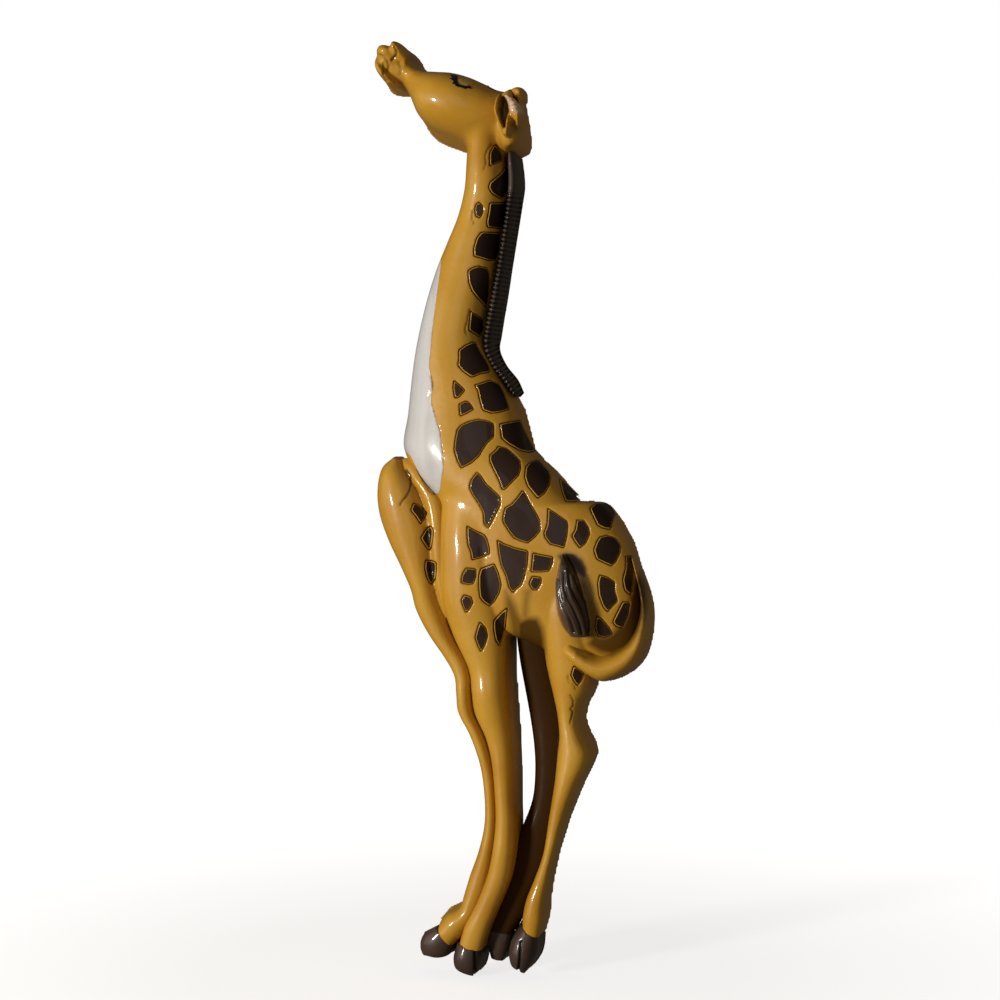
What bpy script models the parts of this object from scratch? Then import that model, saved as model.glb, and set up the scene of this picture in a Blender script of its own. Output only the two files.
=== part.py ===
"""Giraffe wall figure: a hollow half-relief moulding, its painted areas as inlaid pieces.

The wall is the plane y = 0, the relief stands towards -Y, and +Z is up. The origin is where the nail
head bears in the keyhole. Outlines are pixels of the reference photograph, read by eye. on_wall()
turns a pixel into a real place, through the point that the photograph was taken from. Depths are
distances from the wall. A crest share is a limb's greatest depth as a share of RELIEF_DEPTH.
"""

import math

import bmesh
import bpy
from mathutils import Vector

MM = 0.001

# Driving sizes
FIGURE_HEIGHT = 430 * MM
RELIEF_DEPTH = 46 * MM
WALL_THICKNESS = 3 * MM
SEAT_GAP = 0.3 * MM
PAINT_THICKNESS = 0.9 * MM
LASH_RISE = 0.7 * MM
FOLD_DEPTH = 1.2 * MM
BEHIND_WALL = 6 * MM
RIB_DEPTH = 0.8 * MM
RIBS_PER_STATION = 3
FIRST_RIB_ROW = 12

# Sizes that follow the driving sizes: the spots' grooves, and how deep cuts from the front reach
GROOVE_WIDTH = 0.0014 * FIGURE_HEIGHT
FRONT_REACH = 1.3 * RELIEF_DEPTH
PAINT_REACH = 0.18 * RELIEF_DEPTH
EAR_REACH = 0.72 * RELIEF_DEPTH
HORN_REACH = 0.5 * RELIEF_DEPTH
LASH_REACH = 0.56 * RELIEF_DEPTH

# Keyhole bracket inside the back of the shoulders
BRACKET_HEIGHT = 34 * MM
BRACKET_THICKNESS = 3 * MM
KEYHOLE_HEAD = 9 * MM
KEYHOLE_SLOT = 4.4 * MM
KEYHOLE_RISE = 10 * MM
KEYHOLE_SIDES = 20

# Stiffening webs across the hollow trunk
WEB_THICKNESS = 2 * MM

# The photograph: how it looks at the figure
VIEW_DISTANCE = 900 * MM
VIEW_TURN = math.radians(10)
VIEW_CENTRE_PX = (500, 500)
FIGURE_HEIGHT_PX = 934
KEYHOLE_PX = (466, 428)

# Webs: two ends of each plate as pixels
WEBS_PX = [((523, 650), (523, 470)), ((390, 517), (690, 517)), ((523, 589), (690, 589))]

# How the relief is divided and rounded
ARC_STEPS = 4
SPAN_STEPS = 2
HOLLOW_ARC_STEPS = 3
DOME_POWER = 2.3
DRAFT_SHARE = 0.10
MOST_DRAFT_SHARE = 0.2
NARROWEST_SHARE = 0.12
FULLEST_TRIM_SHARE = 0.8
MERGE_SHARE = 0.00001
FLAT_ANGLE = math.radians(3)
LOWEST_CREST_SHARE = 0.9

# Limbs: rail pixels, left and right, station by station, and the crest shares
NECK_AND_TRUNK_PX = [
    ((476, 118), (512, 116)),
    ((471, 138), (514, 137)),
    ((467, 160), (514, 159)),
    ((464, 190), (515, 190)),
    ((457, 218), (511, 218)),
    ((446, 245), (507, 243)),
    ((435, 272), (503, 270)),
    ((425, 305), (496, 303)),
    ((416, 345), (491, 342)),
    ((411, 378), (506, 374)),
    ((407, 415), (526, 410)),
    ((403, 448), (536, 449)),
    ((418, 478), (558, 471)),
    ((437, 502), (584, 499)),
    ((440, 532), (611, 505)),
    ((445, 570), (635, 542)),
    ((460, 602), (644, 578)),
    ((492, 626), (648, 610)),
    ((528, 642), (645, 640)),
    ((560, 655), (628, 662)),
]
NECK_AND_TRUNK_CREST_SHARES = (
    0.82, 0.84, 0.75, 0.64, 0.60, 0.60, 0.60, 0.62, 0.64, 0.67, 0.70, 0.73, 0.75, 0.76,
    0.75, 0.73, 0.70, 0.66, 0.60, 0.50,
)
HEAD_PX = [
    ((426, 70), (414, 97)),
    ((433, 71), (421, 112)),
    ((446, 72), (428, 130)),
    ((460, 73), (439, 142)),
    ((475, 77), (457, 150)),
    ((489, 83), (476, 156)),
    ((499, 88), (495, 157)),
    ((508, 90), (510, 155)),
]
HEAD_CREST_SHARES = (0.66, 0.80, 0.93, 0.99, 1.00, 0.95, 0.88, 0.80)
MUZZLE_PX = [
    ((401, 50), (388, 67)),
    ((404, 49), (387, 79)),
    ((410, 52), (389, 89)),
    ((417, 60), (397, 96)),
    ((426, 70), (413, 98)),
    ((436, 73), (421, 112)),
]
MUZZLE_CREST_SHARES = (0.58, 0.72, 0.78, 0.72, 0.70, 0.76)
UPPER_LIP_PX = [
    ((384, 47), (378, 58)),
    ((390, 46), (381, 65)),
    ((398, 48), (388, 70)),
    ((406, 54), (398, 72)),
]
UPPER_LIP_CREST_SHARES = (0.58, 0.77, 0.82, 0.74)
NOSTRIL_PX = [
    ((396, 46), (394, 56)),
    ((399, 42), (397, 62)),
    ((405, 44), (401, 68)),
    ((413, 54), (409, 73)),
]
NOSTRIL_CREST_SHARES = (0.64, 0.82, 0.85, 0.74)
LOWER_LIP_PX = [
    ((377, 60), (388, 62)),
    ((377, 69), (392, 71)),
    ((380, 77), (396, 80)),
    ((388, 87), (402, 88)),
]
LOWER_LIP_CREST_SHARES = (0.64, 0.77, 0.79, 0.70)
NAPE_PX = [
    ((497, 104), (526, 102)),
    ((495, 116), (528, 113)),
    ((495, 130), (531, 130)),
    ((498, 146), (532, 148)),
    ((503, 152), (529, 155)),
]
NAPE_CREST_SHARES = (0.80, 0.82, 0.82, 0.80, 0.76)
NEAR_FORELEG_PX = [
    ((442, 478), (508, 480)),
    ((439, 520), (513, 525)),
    ((438, 560), (515, 570)),
    ((440, 598), (516, 605)),
    ((452, 635), (517, 640)),
    ((467, 668), (517, 668)),
    ((470, 690), (519, 690)),
    ((473, 712), (520, 712)),
    ((484, 737), (522, 737)),
    ((490, 762), (523, 762)),
    ((493, 790), (523, 790)),
    ((494, 818), (524, 818)),
    ((491, 846), (523, 846)),
    ((485, 874), (518, 874)),
    ((474, 902), (506, 903)),
    ((463, 922), (497, 925)),
    ((457, 943), (491, 943)),
]
NEAR_FORELEG_CREST_SHARES = (
    0.66, 0.72, 0.72, 0.69, 0.65, 0.62, 0.63, 0.59, 0.55, 0.54, 0.53, 0.53, 0.53, 0.51,
    0.49, 0.48, 0.46,
)
NEAR_HINDLEG_PX = [
    ((526, 560), (596, 548)),
    ((535, 605), (602, 600)),
    ((541, 640), (603, 648)),
    ((545, 665), (599, 684)),
    ((551, 692), (591, 700)),
    ((556, 717), (587, 717)),
    ((557, 735), (592, 732)),
    ((555, 755), (599, 752)),
    ((552, 785), (585, 783)),
    ((548, 815), (572, 815)),
    ((543, 850), (561, 850)),
    ((534, 876), (555, 877)),
    ((525, 897), (552, 897)),
    ((521, 914), (551, 913)),
    ((521, 928), (546, 931)),
]
NEAR_HINDLEG_CREST_SHARES = (
    0.66, 0.70, 0.66, 0.61, 0.56, 0.54, 0.55, 0.56, 0.54, 0.50, 0.47, 0.46, 0.47, 0.47,
    0.44,
)
FAR_FORELEG_PX = [
    ((397, 455), (411, 464)),
    ((383, 467), (424, 481)),
    ((378, 490), (436, 500)),
    ((380, 514), (446, 522)),
    ((389, 540), (448, 546)),
    ((401, 565), (448, 570)),
    ((411, 588), (450, 593)),
    ((416, 608), (457, 616)),
    ((428, 632), (465, 636)),
    ((444, 656), (478, 658)),
    ((454, 674), (482, 675)),
    ((456, 692), (482, 692)),
    ((458, 711), (484, 710)),
    ((470, 735), (494, 733)),
    ((480, 765), (502, 763)),
    ((484, 795), (505, 793)),
    ((484, 822), (505, 822)),
    ((478, 848), (502, 850)),
    ((469, 873), (496, 880)),
    ((463, 893), (488, 902)),
    ((459, 905), (480, 916)),
    ((447, 911), (470, 930)),
    ((436, 923), (459, 942)),
]
FAR_FORELEG_CREST_SHARES = (
    0.50, 0.60, 0.64, 0.64, 0.62, 0.60, 0.57, 0.54, 0.52, 0.50, 0.50, 0.50, 0.48, 0.46,
    0.44, 0.43, 0.43, 0.43, 0.42, 0.42, 0.42, 0.42, 0.40,
)
FAR_HINDLEG_PX = [
    ((514, 606), (556, 600)),
    ((516, 636), (558, 636)),
    ((519, 660), (560, 664)),
    ((524, 688), (564, 692)),
    ((529, 716), (568, 720)),
    ((533, 745), (568, 750)),
    ((534, 772), (566, 780)),
    ((531, 800), (562, 810)),
    ((520, 829), (556, 840)),
    ((510, 856), (548, 864)),
    ((501, 886), (534, 892)),
    ((492, 912), (524, 916)),
    ((487, 928), (516, 930)),
]
FAR_HINDLEG_CREST_SHARES = (0.40, 0.36, 0.31, 0.28, 0.26, 0.26, 0.26, 0.26, 0.26, 0.26, 0.26, 0.26, 0.26)
TAIL_PX = [
    ((632, 556), (640, 558)),
    ((637, 574), (645, 573)),
    ((640, 590), (651, 590)),
    ((641, 606), (655, 610)),
    ((637, 623), (654, 632)),
    ((629, 637), (648, 655)),
    ((618, 646), (634, 671)),
    ((604, 650), (611, 681)),
    ((592, 648), (594, 674)),
    ((583, 642), (579, 662)),
]
TAIL_CREST_SHARES = (0.56, 0.62, 0.64, 0.66, 0.68, 0.70, 0.72, 0.73, 0.74, 0.75)
TUFT_PX = [
    ((561, 554), (567, 554)),
    ((556, 566), (576, 566)),
    ((552, 585), (583, 583)),
    ((552, 606), (588, 602)),
    ((557, 625), (591, 620)),
    ((567, 637), (591, 637)),
]
TUFT_CREST_SHARES = (0.80, 0.84, 0.87, 0.87, 0.85, 0.80)
MANE_PX = [
    ((508, 150), (520, 150)),
    ((508, 165), (523, 163)),
    ((508, 190), (525, 188)),
    ((505, 218), (521, 215)),
    ((501, 243), (517, 243)),
    ((497, 270), (513, 270)),
    ((490, 303), (508, 303)),
    ((485, 335), (502, 335)),
    ((486, 352), (500, 350)),
    ((493, 368), (507, 366)),
    ((505, 384), (518, 380)),
    ((514, 397), (524, 393)),
]
MANE_CREST_SHARES = (0.50, 0.50, 0.48, 0.47, 0.47, 0.47, 0.48, 0.50, 0.51, 0.51, 0.50, 0.46)
EAR_FRONT_PX = [
    ((499, 94), (504, 96)),
    ((496, 103), (503, 104)),
    ((495, 114), (502, 114)),
    ((498, 124), (505, 123)),
    ((502, 136), (508, 134)),
]
EAR_FRONT_CREST_SHARES = (0.98, 1.07, 1.09, 1.05, 0.96)
EAR_BACK_PX = [
    ((503, 96), (509, 95)),
    ((506, 102), (516, 99)),
    ((507, 110), (522, 106)),
    ((508, 117), (523, 114)),
    ((510, 122), (522, 119)),
]
EAR_BACK_CREST_SHARES = (1.00, 1.03, 1.06, 1.05, 1.01)
EAR_CURL_PX = [
    ((507, 114), (513, 115)),
    ((506, 122), (513, 122)),
    ((505, 129), (511, 129)),
    ((503, 136), (508, 135)),
]
EAR_CURL_CREST_SHARES = (1.02, 1.08, 1.05, 0.97)
EAR_LOBE_PX = [
    ((514, 113), (523, 111)),
    ((514, 120), (524, 118)),
    ((516, 127), (521, 125)),
]
EAR_LOBE_CREST_SHARES = (1.02, 1.09, 1.01)
HORN_PX = [
    ((509, 96), (512, 91)),
    ((512, 98), (520, 87)),
    ((516, 102), (526, 89)),
    ((519, 108), (527, 100)),
]
HORN_CREST_SHARES = (0.70, 0.76, 0.78, 0.74)
NEAR_FORE_HOOF_PX = [
    ((456, 940), (491, 940)),
    ((452, 954), (489, 954)),
    ((453, 965), (486, 964)),
    ((459, 971), (480, 970)),
]
NEAR_FORE_HOOF_CREST_SHARES = (0.46, 0.47, 0.42, 0.30)
FAR_FORE_HOOF_PX = [
    ((437, 918), (463, 937)),
    ((425, 929), (456, 950)),
    ((420, 938), (444, 954)),
    ((420, 946), (428, 952)),
]
FAR_FORE_HOOF_CREST_SHARES = (0.38, 0.38, 0.34, 0.22)
NEAR_HIND_HOOF_PX = [
    ((520, 923), (546, 927)),
    ((511, 935), (545, 942)),
    ((507, 949), (542, 953)),
    ((509, 962), (535, 963)),
    ((515, 968), (529, 968)),
]
NEAR_HIND_HOOF_CREST_SHARES = (0.44, 0.46, 0.46, 0.40, 0.28)
FAR_HIND_HOOF_PX = [
    ((487, 925), (517, 927)),
    ((487, 943), (513, 945)),
    ((490, 957), (508, 957)),
]
FAR_HIND_HOOF_CREST_SHARES = (0.26, 0.26, 0.22)

# Share of the relief depth at which each side wall ends and the dome begins: left, right
SIDE_SHARES = {
    "neck_and_trunk": (0.26, 0.30),
    "head": (0.40, 0.50),
    "muzzle": (0.36, 0.36),
    "upper_lip": (0.36, 0.36),
    "nostril": (0.36, 0.36),
    "lower_lip": (0.36, 0.36),
    "nape": (0.60, 0.68),
    "near_foreleg": (0.30, 0.36),
    "near_hindleg": (0.30, 0.34),
    "far_foreleg": (0.22, 0.20),
    "far_hindleg": (0.14, 0.14),
    "tail": (0.36, 0.34),
    "tuft": (0.60, 0.60),
    "mane": (0.30, 0.34),
    "ear_front": (0.80, 0.80),
    "ear_back": (0.90, 0.98),
    "ear_curl": (0.80, 0.80),
    "ear_lobe": (0.80, 0.80),
    "horn": (0.52, 0.52),
    "near_fore_hoof": (0.26, 0.28),
    "far_fore_hoof": (0.20, 0.18),
    "near_hind_hoof": (0.26, 0.26),
    "far_hind_hoof": (0.14, 0.14),
}
# Depth shares at which the rails of raised pieces were read; other limbs: left shoulder, right rim
RAISED_SHARES = {
    "tuft": (0.72, 0.72),
    "ear_front": (0.9, 0.9),
    "ear_back": (0.95, 0.95),
    "ear_curl": (0.95, 0.95),
    "ear_lobe": (0.95, 0.95),
    "horn": (0.6, 0.6),
    "upper_lip": (0.45, 0.45),
    "nostril": (0.5, 0.5),
    "lower_lip": (0.45, 0.45),
}
LIMBS = {
    "neck_and_trunk": (NECK_AND_TRUNK_PX, NECK_AND_TRUNK_CREST_SHARES),
    "head": (HEAD_PX, HEAD_CREST_SHARES),
    "muzzle": (MUZZLE_PX, MUZZLE_CREST_SHARES),
    "upper_lip": (UPPER_LIP_PX, UPPER_LIP_CREST_SHARES),
    "nostril": (NOSTRIL_PX, NOSTRIL_CREST_SHARES),
    "lower_lip": (LOWER_LIP_PX, LOWER_LIP_CREST_SHARES),
    "nape": (NAPE_PX, NAPE_CREST_SHARES),
    "near_foreleg": (NEAR_FORELEG_PX, NEAR_FORELEG_CREST_SHARES),
    "near_hindleg": (NEAR_HINDLEG_PX, NEAR_HINDLEG_CREST_SHARES),
    "far_foreleg": (FAR_FORELEG_PX, FAR_FORELEG_CREST_SHARES),
    "far_hindleg": (FAR_HINDLEG_PX, FAR_HINDLEG_CREST_SHARES),
    "tail": (TAIL_PX, TAIL_CREST_SHARES),
    "tuft": (TUFT_PX, TUFT_CREST_SHARES),
    "mane": (MANE_PX, MANE_CREST_SHARES),
    "ear_front": (EAR_FRONT_PX, EAR_FRONT_CREST_SHARES),
    "ear_back": (EAR_BACK_PX, EAR_BACK_CREST_SHARES),
    "ear_curl": (EAR_CURL_PX, EAR_CURL_CREST_SHARES),
    "ear_lobe": (EAR_LOBE_PX, EAR_LOBE_CREST_SHARES),
    "horn": (HORN_PX, HORN_CREST_SHARES),
    "near_fore_hoof": (NEAR_FORE_HOOF_PX, NEAR_FORE_HOOF_CREST_SHARES),
    "far_fore_hoof": (FAR_FORE_HOOF_PX, FAR_FORE_HOOF_CREST_SHARES),
    "near_hind_hoof": (NEAR_HIND_HOOF_PX, NEAR_HIND_HOOF_CREST_SHARES),
    "far_hind_hoof": (FAR_HIND_HOOF_PX, FAR_HIND_HOOF_CREST_SHARES),
}

# Painted areas and folds
NECK_SPOTS_PX = [
    [(494, 146), (490, 153), (490, 166), (497, 163), (503, 160), (502, 155), (499, 149)],
    [(505, 168), (496, 178), (490, 183), (489, 188), (498, 197), (502, 199), (509, 188), (509, 168)],
    [(490, 203), (489, 212), (487, 222), (488, 227), (495, 228), (503, 229), (508, 208), (506, 203)],
    [(479, 202), (475, 206), (474, 211), (476, 216), (480, 218), (483, 213), (483, 206)],
    [(482, 234), (477, 239), (474, 248), (474, 256), (490, 261), (497, 259), (501, 240), (500, 235)],
    [(468, 271), (479, 266), (487, 268), (490, 275), (487, 308), (477, 297), (472, 290), (469, 282)],
    [(471, 311), (470, 320), (469, 330), (474, 333), (480, 337), (484, 330), (484, 320), (480, 317)],
]
SHOULDER_SPOTS_PX = [
    [(473, 342), (459, 350), (458, 365), (463, 371), (472, 377), (490, 372), (490, 367), (477, 343)],
    [(454, 380), (453, 388), (455, 398), (459, 397), (465, 390), (461, 386)],
    [(459, 404), (460, 416), (467, 413), (474, 409), (469, 402), (466, 401)],
    [(475, 385), (491, 380), (500, 384), (505, 393), (510, 409), (492, 413), (483, 410), (480, 400)],
    [(455, 440), (461, 425), (479, 419), (494, 424), (494, 437), (483, 449), (471, 463), (461, 468),
     (454, 450)],
    [(500, 424), (521, 420), (525, 430), (536, 450), (520, 450), (509, 444), (502, 438)],
]
FLANK_SPOTS_PX = [
    [(499, 446), (490, 455), (490, 461), (502, 489), (505, 489), (519, 475), (520, 460), (507, 448)],
    [(477, 472), (469, 487), (478, 503), (484, 524), (488, 528), (500, 505), (500, 497), (486, 484)],
    [(539, 459), (526, 467), (525, 477), (528, 486), (538, 498), (550, 484), (551, 476), (544, 465)],
    [(523, 490), (505, 508), (503, 516), (514, 538), (528, 543), (540, 531), (536, 513), (530, 503)],
    [(467, 526), (468, 545), (472, 560), (489, 554), (489, 548), (484, 535)],
    [(497, 540), (528, 551), (527, 565), (521, 585), (513, 593), (509, 588), (506, 576), (499, 555)],
    [(548, 508), (567, 521), (568, 525), (564, 548), (550, 544), (544, 533), (548, 516)],
    [(533, 553), (553, 557), (552, 564), (549, 570), (531, 570)],
    [(532, 577), (541, 578), (541, 583), (537, 590), (533, 590), (529, 584)],
]
RUMP_SPOTS_PX = [
    [(560, 478), (577, 492), (583, 499), (575, 501), (566, 501), (563, 493)],
    [(577, 520), (584, 520), (590, 534), (586, 543), (580, 548), (572, 536)],
    [(590, 508), (605, 502), (612, 505), (616, 513), (611, 529), (598, 525)],
    [(600, 537), (608, 535), (616, 538), (621, 545), (620, 553), (612, 566), (597, 559), (594, 550)],
    [(600, 575), (615, 582), (615, 592), (618, 601), (608, 612), (603, 606), (598, 595)],
    [(626, 556), (632, 556), (634, 566), (634, 580), (631, 595), (623, 580)],
    [(623, 602), (630, 602), (628, 615), (622, 628), (613, 622)],
    [(597, 616), (603, 620), (611, 629), (613, 634), (605, 638), (598, 636)],
]
NEAR_FORELEG_SPOTS_PX = [
    [(466, 568), (461, 578), (462, 584), (473, 584), (476, 577), (475, 569)],
    [(464, 595), (461, 600), (466, 613), (470, 608), (473, 603)],
    [(481, 569), (494, 564), (501, 585), (499, 593), (490, 606), (480, 597), (479, 576)],
    [(480, 622), (475, 638), (481, 652), (488, 636)],
    [(501, 613), (494, 621), (494, 630), (500, 646), (505, 628), (507, 614)],
]
FAR_FORELEG_SPOTS_PX = [
    [(414, 503), (411, 510), (421, 524), (425, 518), (426, 513), (423, 507)],
    [(430, 526), (421, 538), (424, 543), (430, 550), (432, 540), (433, 530)],
    [(426, 560), (427, 577), (431, 584), (435, 578), (436, 566), (432, 561)],
]
NEAR_HINDLEG_SPOTS_PX = [
    [(574, 666), (584, 674), (582, 680), (578, 686), (571, 676)],
]
BIB_PX = [
    (441, 257), (438, 285), (434, 315), (431, 345), (429, 368), (432, 387), (431, 402), (437, 423),
    (441, 440), (443, 461), (441, 480), (439, 493), (433, 495), (424, 484), (415, 466), (402, 452),
    (388, 452), (388, 400), (404, 320), (420, 262),
]
NEAR_LASHES_PX = [
    [(452, 76), (456, 77), (457, 84), (463, 86), (472, 86), (472, 89), (465, 90), (456, 88), (451, 84)],
]
FAR_LASHES_PX = [
    [(487, 84), (489, 81), (493, 83), (497, 87), (496, 90), (490, 87)],
]
MUZZLE_FOLDS_PX = [
    [(396, 47), (398, 52), (397, 58), (394, 61), (392, 60), (395, 56), (396, 52)],
    [(384, 60), (389, 63), (390, 68), (388, 72), (386, 71), (388, 67), (387, 64)],
]
SHOULDER_FOLDS_PX = [
    [(405, 468), (410, 473), (412, 482), (410, 492), (405, 499), (404, 498), (408, 491), (410, 482),
     (408, 475)],
]
TUFT_STRANDS_PX = [
    [(564, 566), (568, 580), (567, 600), (574, 618), (580, 634), (578, 635), (571, 619), (564, 601),
     (565, 580)],
    [(568, 568), (573, 582), (574, 600), (581, 618), (586, 632), (584, 634), (578, 619), (571, 601),
     (570, 583)],
    [(561, 572), (562, 590), (560, 606), (568, 628), (566, 629), (558, 607), (559, 590)],
]
NEAR_FORE_CLEFT_PX = [
    [(474, 955), (476, 955), (476, 975), (473, 975)],
]
NEAR_HIND_CLEFT_PX = [
    [(521, 944), (523, 944), (520, 972), (517, 972)],
]
THIGH_FOLDS_PX = [
    [(519, 598), (523, 606), (529, 622), (531, 640), (528, 640), (526, 623), (520, 608)],
    [(569, 695), (573, 701), (572, 709), (574, 716), (571, 722), (570, 716), (570, 708), (571, 702)],
]

HOLLOW_LIMBS = ("neck_and_trunk", "head", "muzzle", "nape", "near_foreleg", "near_hindleg")
BODY_LIMBS = HOLLOW_LIMBS + ("upper_lip", "nostril", "lower_lip")
EAR_LIMBS = ("ear_front", "ear_back", "ear_curl", "ear_lobe")

# Colour, roughness and metallic of each material
MUSTARD = ((0.45, 0.235, 0.022), 0.25, 0.0)
SPOT_BROWN = ((0.062, 0.036, 0.026), 0.3, 0.0)
MANE_BROWN = ((0.03, 0.017, 0.012), 0.3, 0.0)
BIB_WHITE = ((0.72, 0.70, 0.67), 0.22, 0.0)
HOOF_BROWN = ((0.085, 0.05, 0.035), 0.3, 0.0)
TUFT_BROWN = ((0.07, 0.04, 0.03), 0.3, 0.0)
LASH_BLACK = ((0.008, 0.007, 0.007), 0.25, 0.0)


def clear_scene():
    for obj in list(bpy.data.objects):
        bpy.data.objects.remove(obj, do_unlink=True)
    for mesh in list(bpy.data.meshes):
        bpy.data.meshes.remove(mesh)


def link(obj):
    bpy.context.scene.collection.objects.link(obj)
    return obj


def discard(*objects):
    for obj in objects:
        mesh = obj.data
        bpy.data.objects.remove(obj, do_unlink=True)
        bpy.data.meshes.remove(mesh)


def is_closed(mesh):
    """Whether each edge of a mesh has two faces."""
    bm = bmesh.new()
    bm.from_mesh(mesh)
    closed = all(len(edge.link_faces) == 2 for edge in bm.edges)
    bm.free()
    return closed


def tidy(mesh):
    """Merges corners that lie almost on top of each other, but not where that pinches the skin."""
    whole = mesh.copy()
    for merge in (MERGE_SHARE * FIGURE_HEIGHT, 0):
        bm = bmesh.new()
        bm.from_mesh(whole)
        if merge:
            bmesh.ops.remove_doubles(bm, verts=bm.verts, dist=merge)
            bmesh.ops.dissolve_degenerate(bm, edges=bm.edges, dist=merge)
        bmesh.ops.dissolve_limit(bm, angle_limit=FLAT_ANGLE, verts=bm.verts, edges=bm.edges)
        bmesh.ops.triangulate(bm, faces=bm.faces)
        bm.to_mesh(mesh)
        bm.free()
        if is_closed(mesh):
            break
    bpy.data.meshes.remove(whole)


def combine(target, operation, *others):
    """Boolean of target with each of the others in turn; the others are used up.

    Where the plain Boolean leaves a hole, it is made once more with care for touching faces.
    """
    for other in others:
        other.hide_render = True
        other.display_type = "WIRE"
        modifier = target.modifiers.new(operation.lower(), "BOOLEAN")
        modifier.operation = operation
        modifier.solver = "EXACT"
        modifier.object = other
        for careful in (False, True):
            modifier.use_self = careful
            modifier.use_hole_tolerant = careful
            evaluated = target.evaluated_get(bpy.context.evaluated_depsgraph_get())
            mesh = bpy.data.meshes.new_from_object(evaluated)
            if is_closed(mesh):
                break
        target.modifiers.clear()
        old = target.data
        target.data = mesh
        bpy.data.meshes.remove(old)
        discard(other)
    return target


def on_wall(pixel, depth):
    """Place that a pixel shows, on the plane at this depth in front of the wall, before centring."""
    scale = FIGURE_HEIGHT / FIGURE_HEIGHT_PX
    to_eye = Vector((math.sin(VIEW_TURN), -math.cos(VIEW_TURN), 0))
    across = Vector((math.cos(VIEW_TURN), math.sin(VIEW_TURN), 0))
    eye = to_eye * VIEW_DISTANCE
    side = (pixel[0] - VIEW_CENTRE_PX[0]) * scale
    rise = (VIEW_CENTRE_PX[1] - pixel[1]) * scale
    ray = across * side + Vector((0, 0, rise)) - eye
    return eye + ray * ((-depth - eye.y) / ray.y)


def from_photo(pixel, depth):
    """Place that a pixel shows, measured from the keyhole."""
    keyhole = on_wall(KEYHOLE_PX, 0)
    place = on_wall(pixel, depth)
    return Vector((place.x - keyhole.x, place.y, place.z - keyhole.z))


def smooth_rail(values, steps):
    """Catmull-Rom curve through values, which may be vectors or numbers."""
    out = []
    last = len(values) - 1
    for i in range(last):
        before, start = values[max(i - 1, 0)], values[i]
        end, after = values[i + 1], values[min(i + 2, last)]
        for k in range(steps):
            t = k / steps
            slope = (end - before) * t
            bend = (before * 2 - start * 5 + end * 4 - after) * t**2
            twist = (start * 3 - before - end * 3 + after) * t**3
            out.append((start * 2 + slope + bend + twist) * 0.5)
    out.append(values[last])
    return out


def limb_rows(name, steps):
    """Left rim, right rim and crest of a limb, row by row. Rims lie on the wall."""
    rails, crest_shares = LIMBS[name]
    left_share, right_share = RAISED_SHARES.get(name, (SIDE_SHARES[name][0], 0))
    lefts = []
    rights = []
    for left_px, right_px in rails:
        left = from_photo(left_px, left_share * RELIEF_DEPTH)
        right = from_photo(right_px, right_share * RELIEF_DEPTH)
        lefts.append(Vector((left.x, 0, left.z)))
        rights.append(Vector((right.x, 0, right.z)))
    crests = [share * RELIEF_DEPTH for share in crest_shares]
    rows = zip(smooth_rail(lefts, steps), smooth_rail(rights, steps), smooth_rail(crests, steps))
    return list(rows)


def span_length(rows, end, inner):
    """Distance between the middles of two rows."""
    left, right, _ = rows[end]
    left_in, right_in, _ = rows[inner]
    return ((left_in + right_in - left - right) / 2).length


def trim_ends(rows, inset):
    """Moves the first and last row inwards by inset, or outwards where it is negative."""
    for end, inner in ((0, 1), (-1, -2)):
        rest = inset
        while rest > span_length(rows, end, inner) * FULLEST_TRIM_SHARE and len(rows) > 2:
            rest -= span_length(rows, end, inner)
            rows.pop(end)
        share = rest / span_length(rows, end, inner)
        left, right, crest = rows[end]
        left_in, right_in, crest_in = rows[inner]
        row = (left.lerp(left_in, share), right.lerp(right_in, share), crest + (crest_in - crest) * share)
        rows[end] = row
    return rows


def section(left, right, crest, side_shares, inset, arc_steps, back):
    """One D-shaped section: left side wall, dome, right side wall. It starts at back, behind the wall."""
    across = right - left
    width = across.length
    across = across / width
    middle = left + across * (width / 2)
    top = crest - inset
    rim_reach = max(width / 2 - inset, width * NARROWEST_SHARE)
    ring = []
    for side, share in ((-1, side_shares[0]), (1, side_shares[1])):
        edge = min(share * RELIEF_DEPTH, crest * LOWEST_CREST_SHARE) - inset / 2
        reach = rim_reach - min(edge * DRAFT_SHARE, rim_reach * MOST_DRAFT_SHARE)
        back_reach = rim_reach + back * DRAFT_SHARE
        points = [middle + across * side * back_reach + Vector((0, back, 0))]
        for k in range(arc_steps + (side < 0)):
            angle = math.pi / 2 * k / arc_steps
            out = abs(math.cos(angle)) ** (2 / DOME_POWER) if k < arc_steps else 0
            rise = math.sin(angle) ** (2 / DOME_POWER)
            depth = edge + (top - edge) * rise
            points.append(middle + across * side * reach * out + Vector((0, -depth, 0)))
        ring += points if side < 0 else points[::-1]
    return ring


def mesh_object(name, loops, flat_back=False):
    """Closed skin through rings of places. A flat back is one face, not one between each two rings."""
    bm = bmesh.new()
    rings = [[bm.verts.new(place) for place in loop] for loop in loops]
    count = len(rings[0])
    sides = count - 1 if flat_back else count
    for lower, upper in zip(rings, rings[1:]):
        for i in range(sides):
            j = (i + 1) % count
            bm.faces.new((lower[i], lower[j], upper[j], upper[i]))
    bmesh.ops.triangulate(bm, faces=bm.faces)
    if flat_back:
        bm.faces.new([ring[0] for ring in rings] + [ring[-1] for ring in rings[::-1]])
    bm.faces.new(rings[0][::-1])
    bm.faces.new(rings[-1])
    bmesh.ops.recalc_face_normals(bm, faces=bm.faces)
    mesh = bpy.data.meshes.new(name)
    bm.to_mesh(mesh)
    bm.free()
    return link(bpy.data.objects.new(name, mesh))


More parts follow.
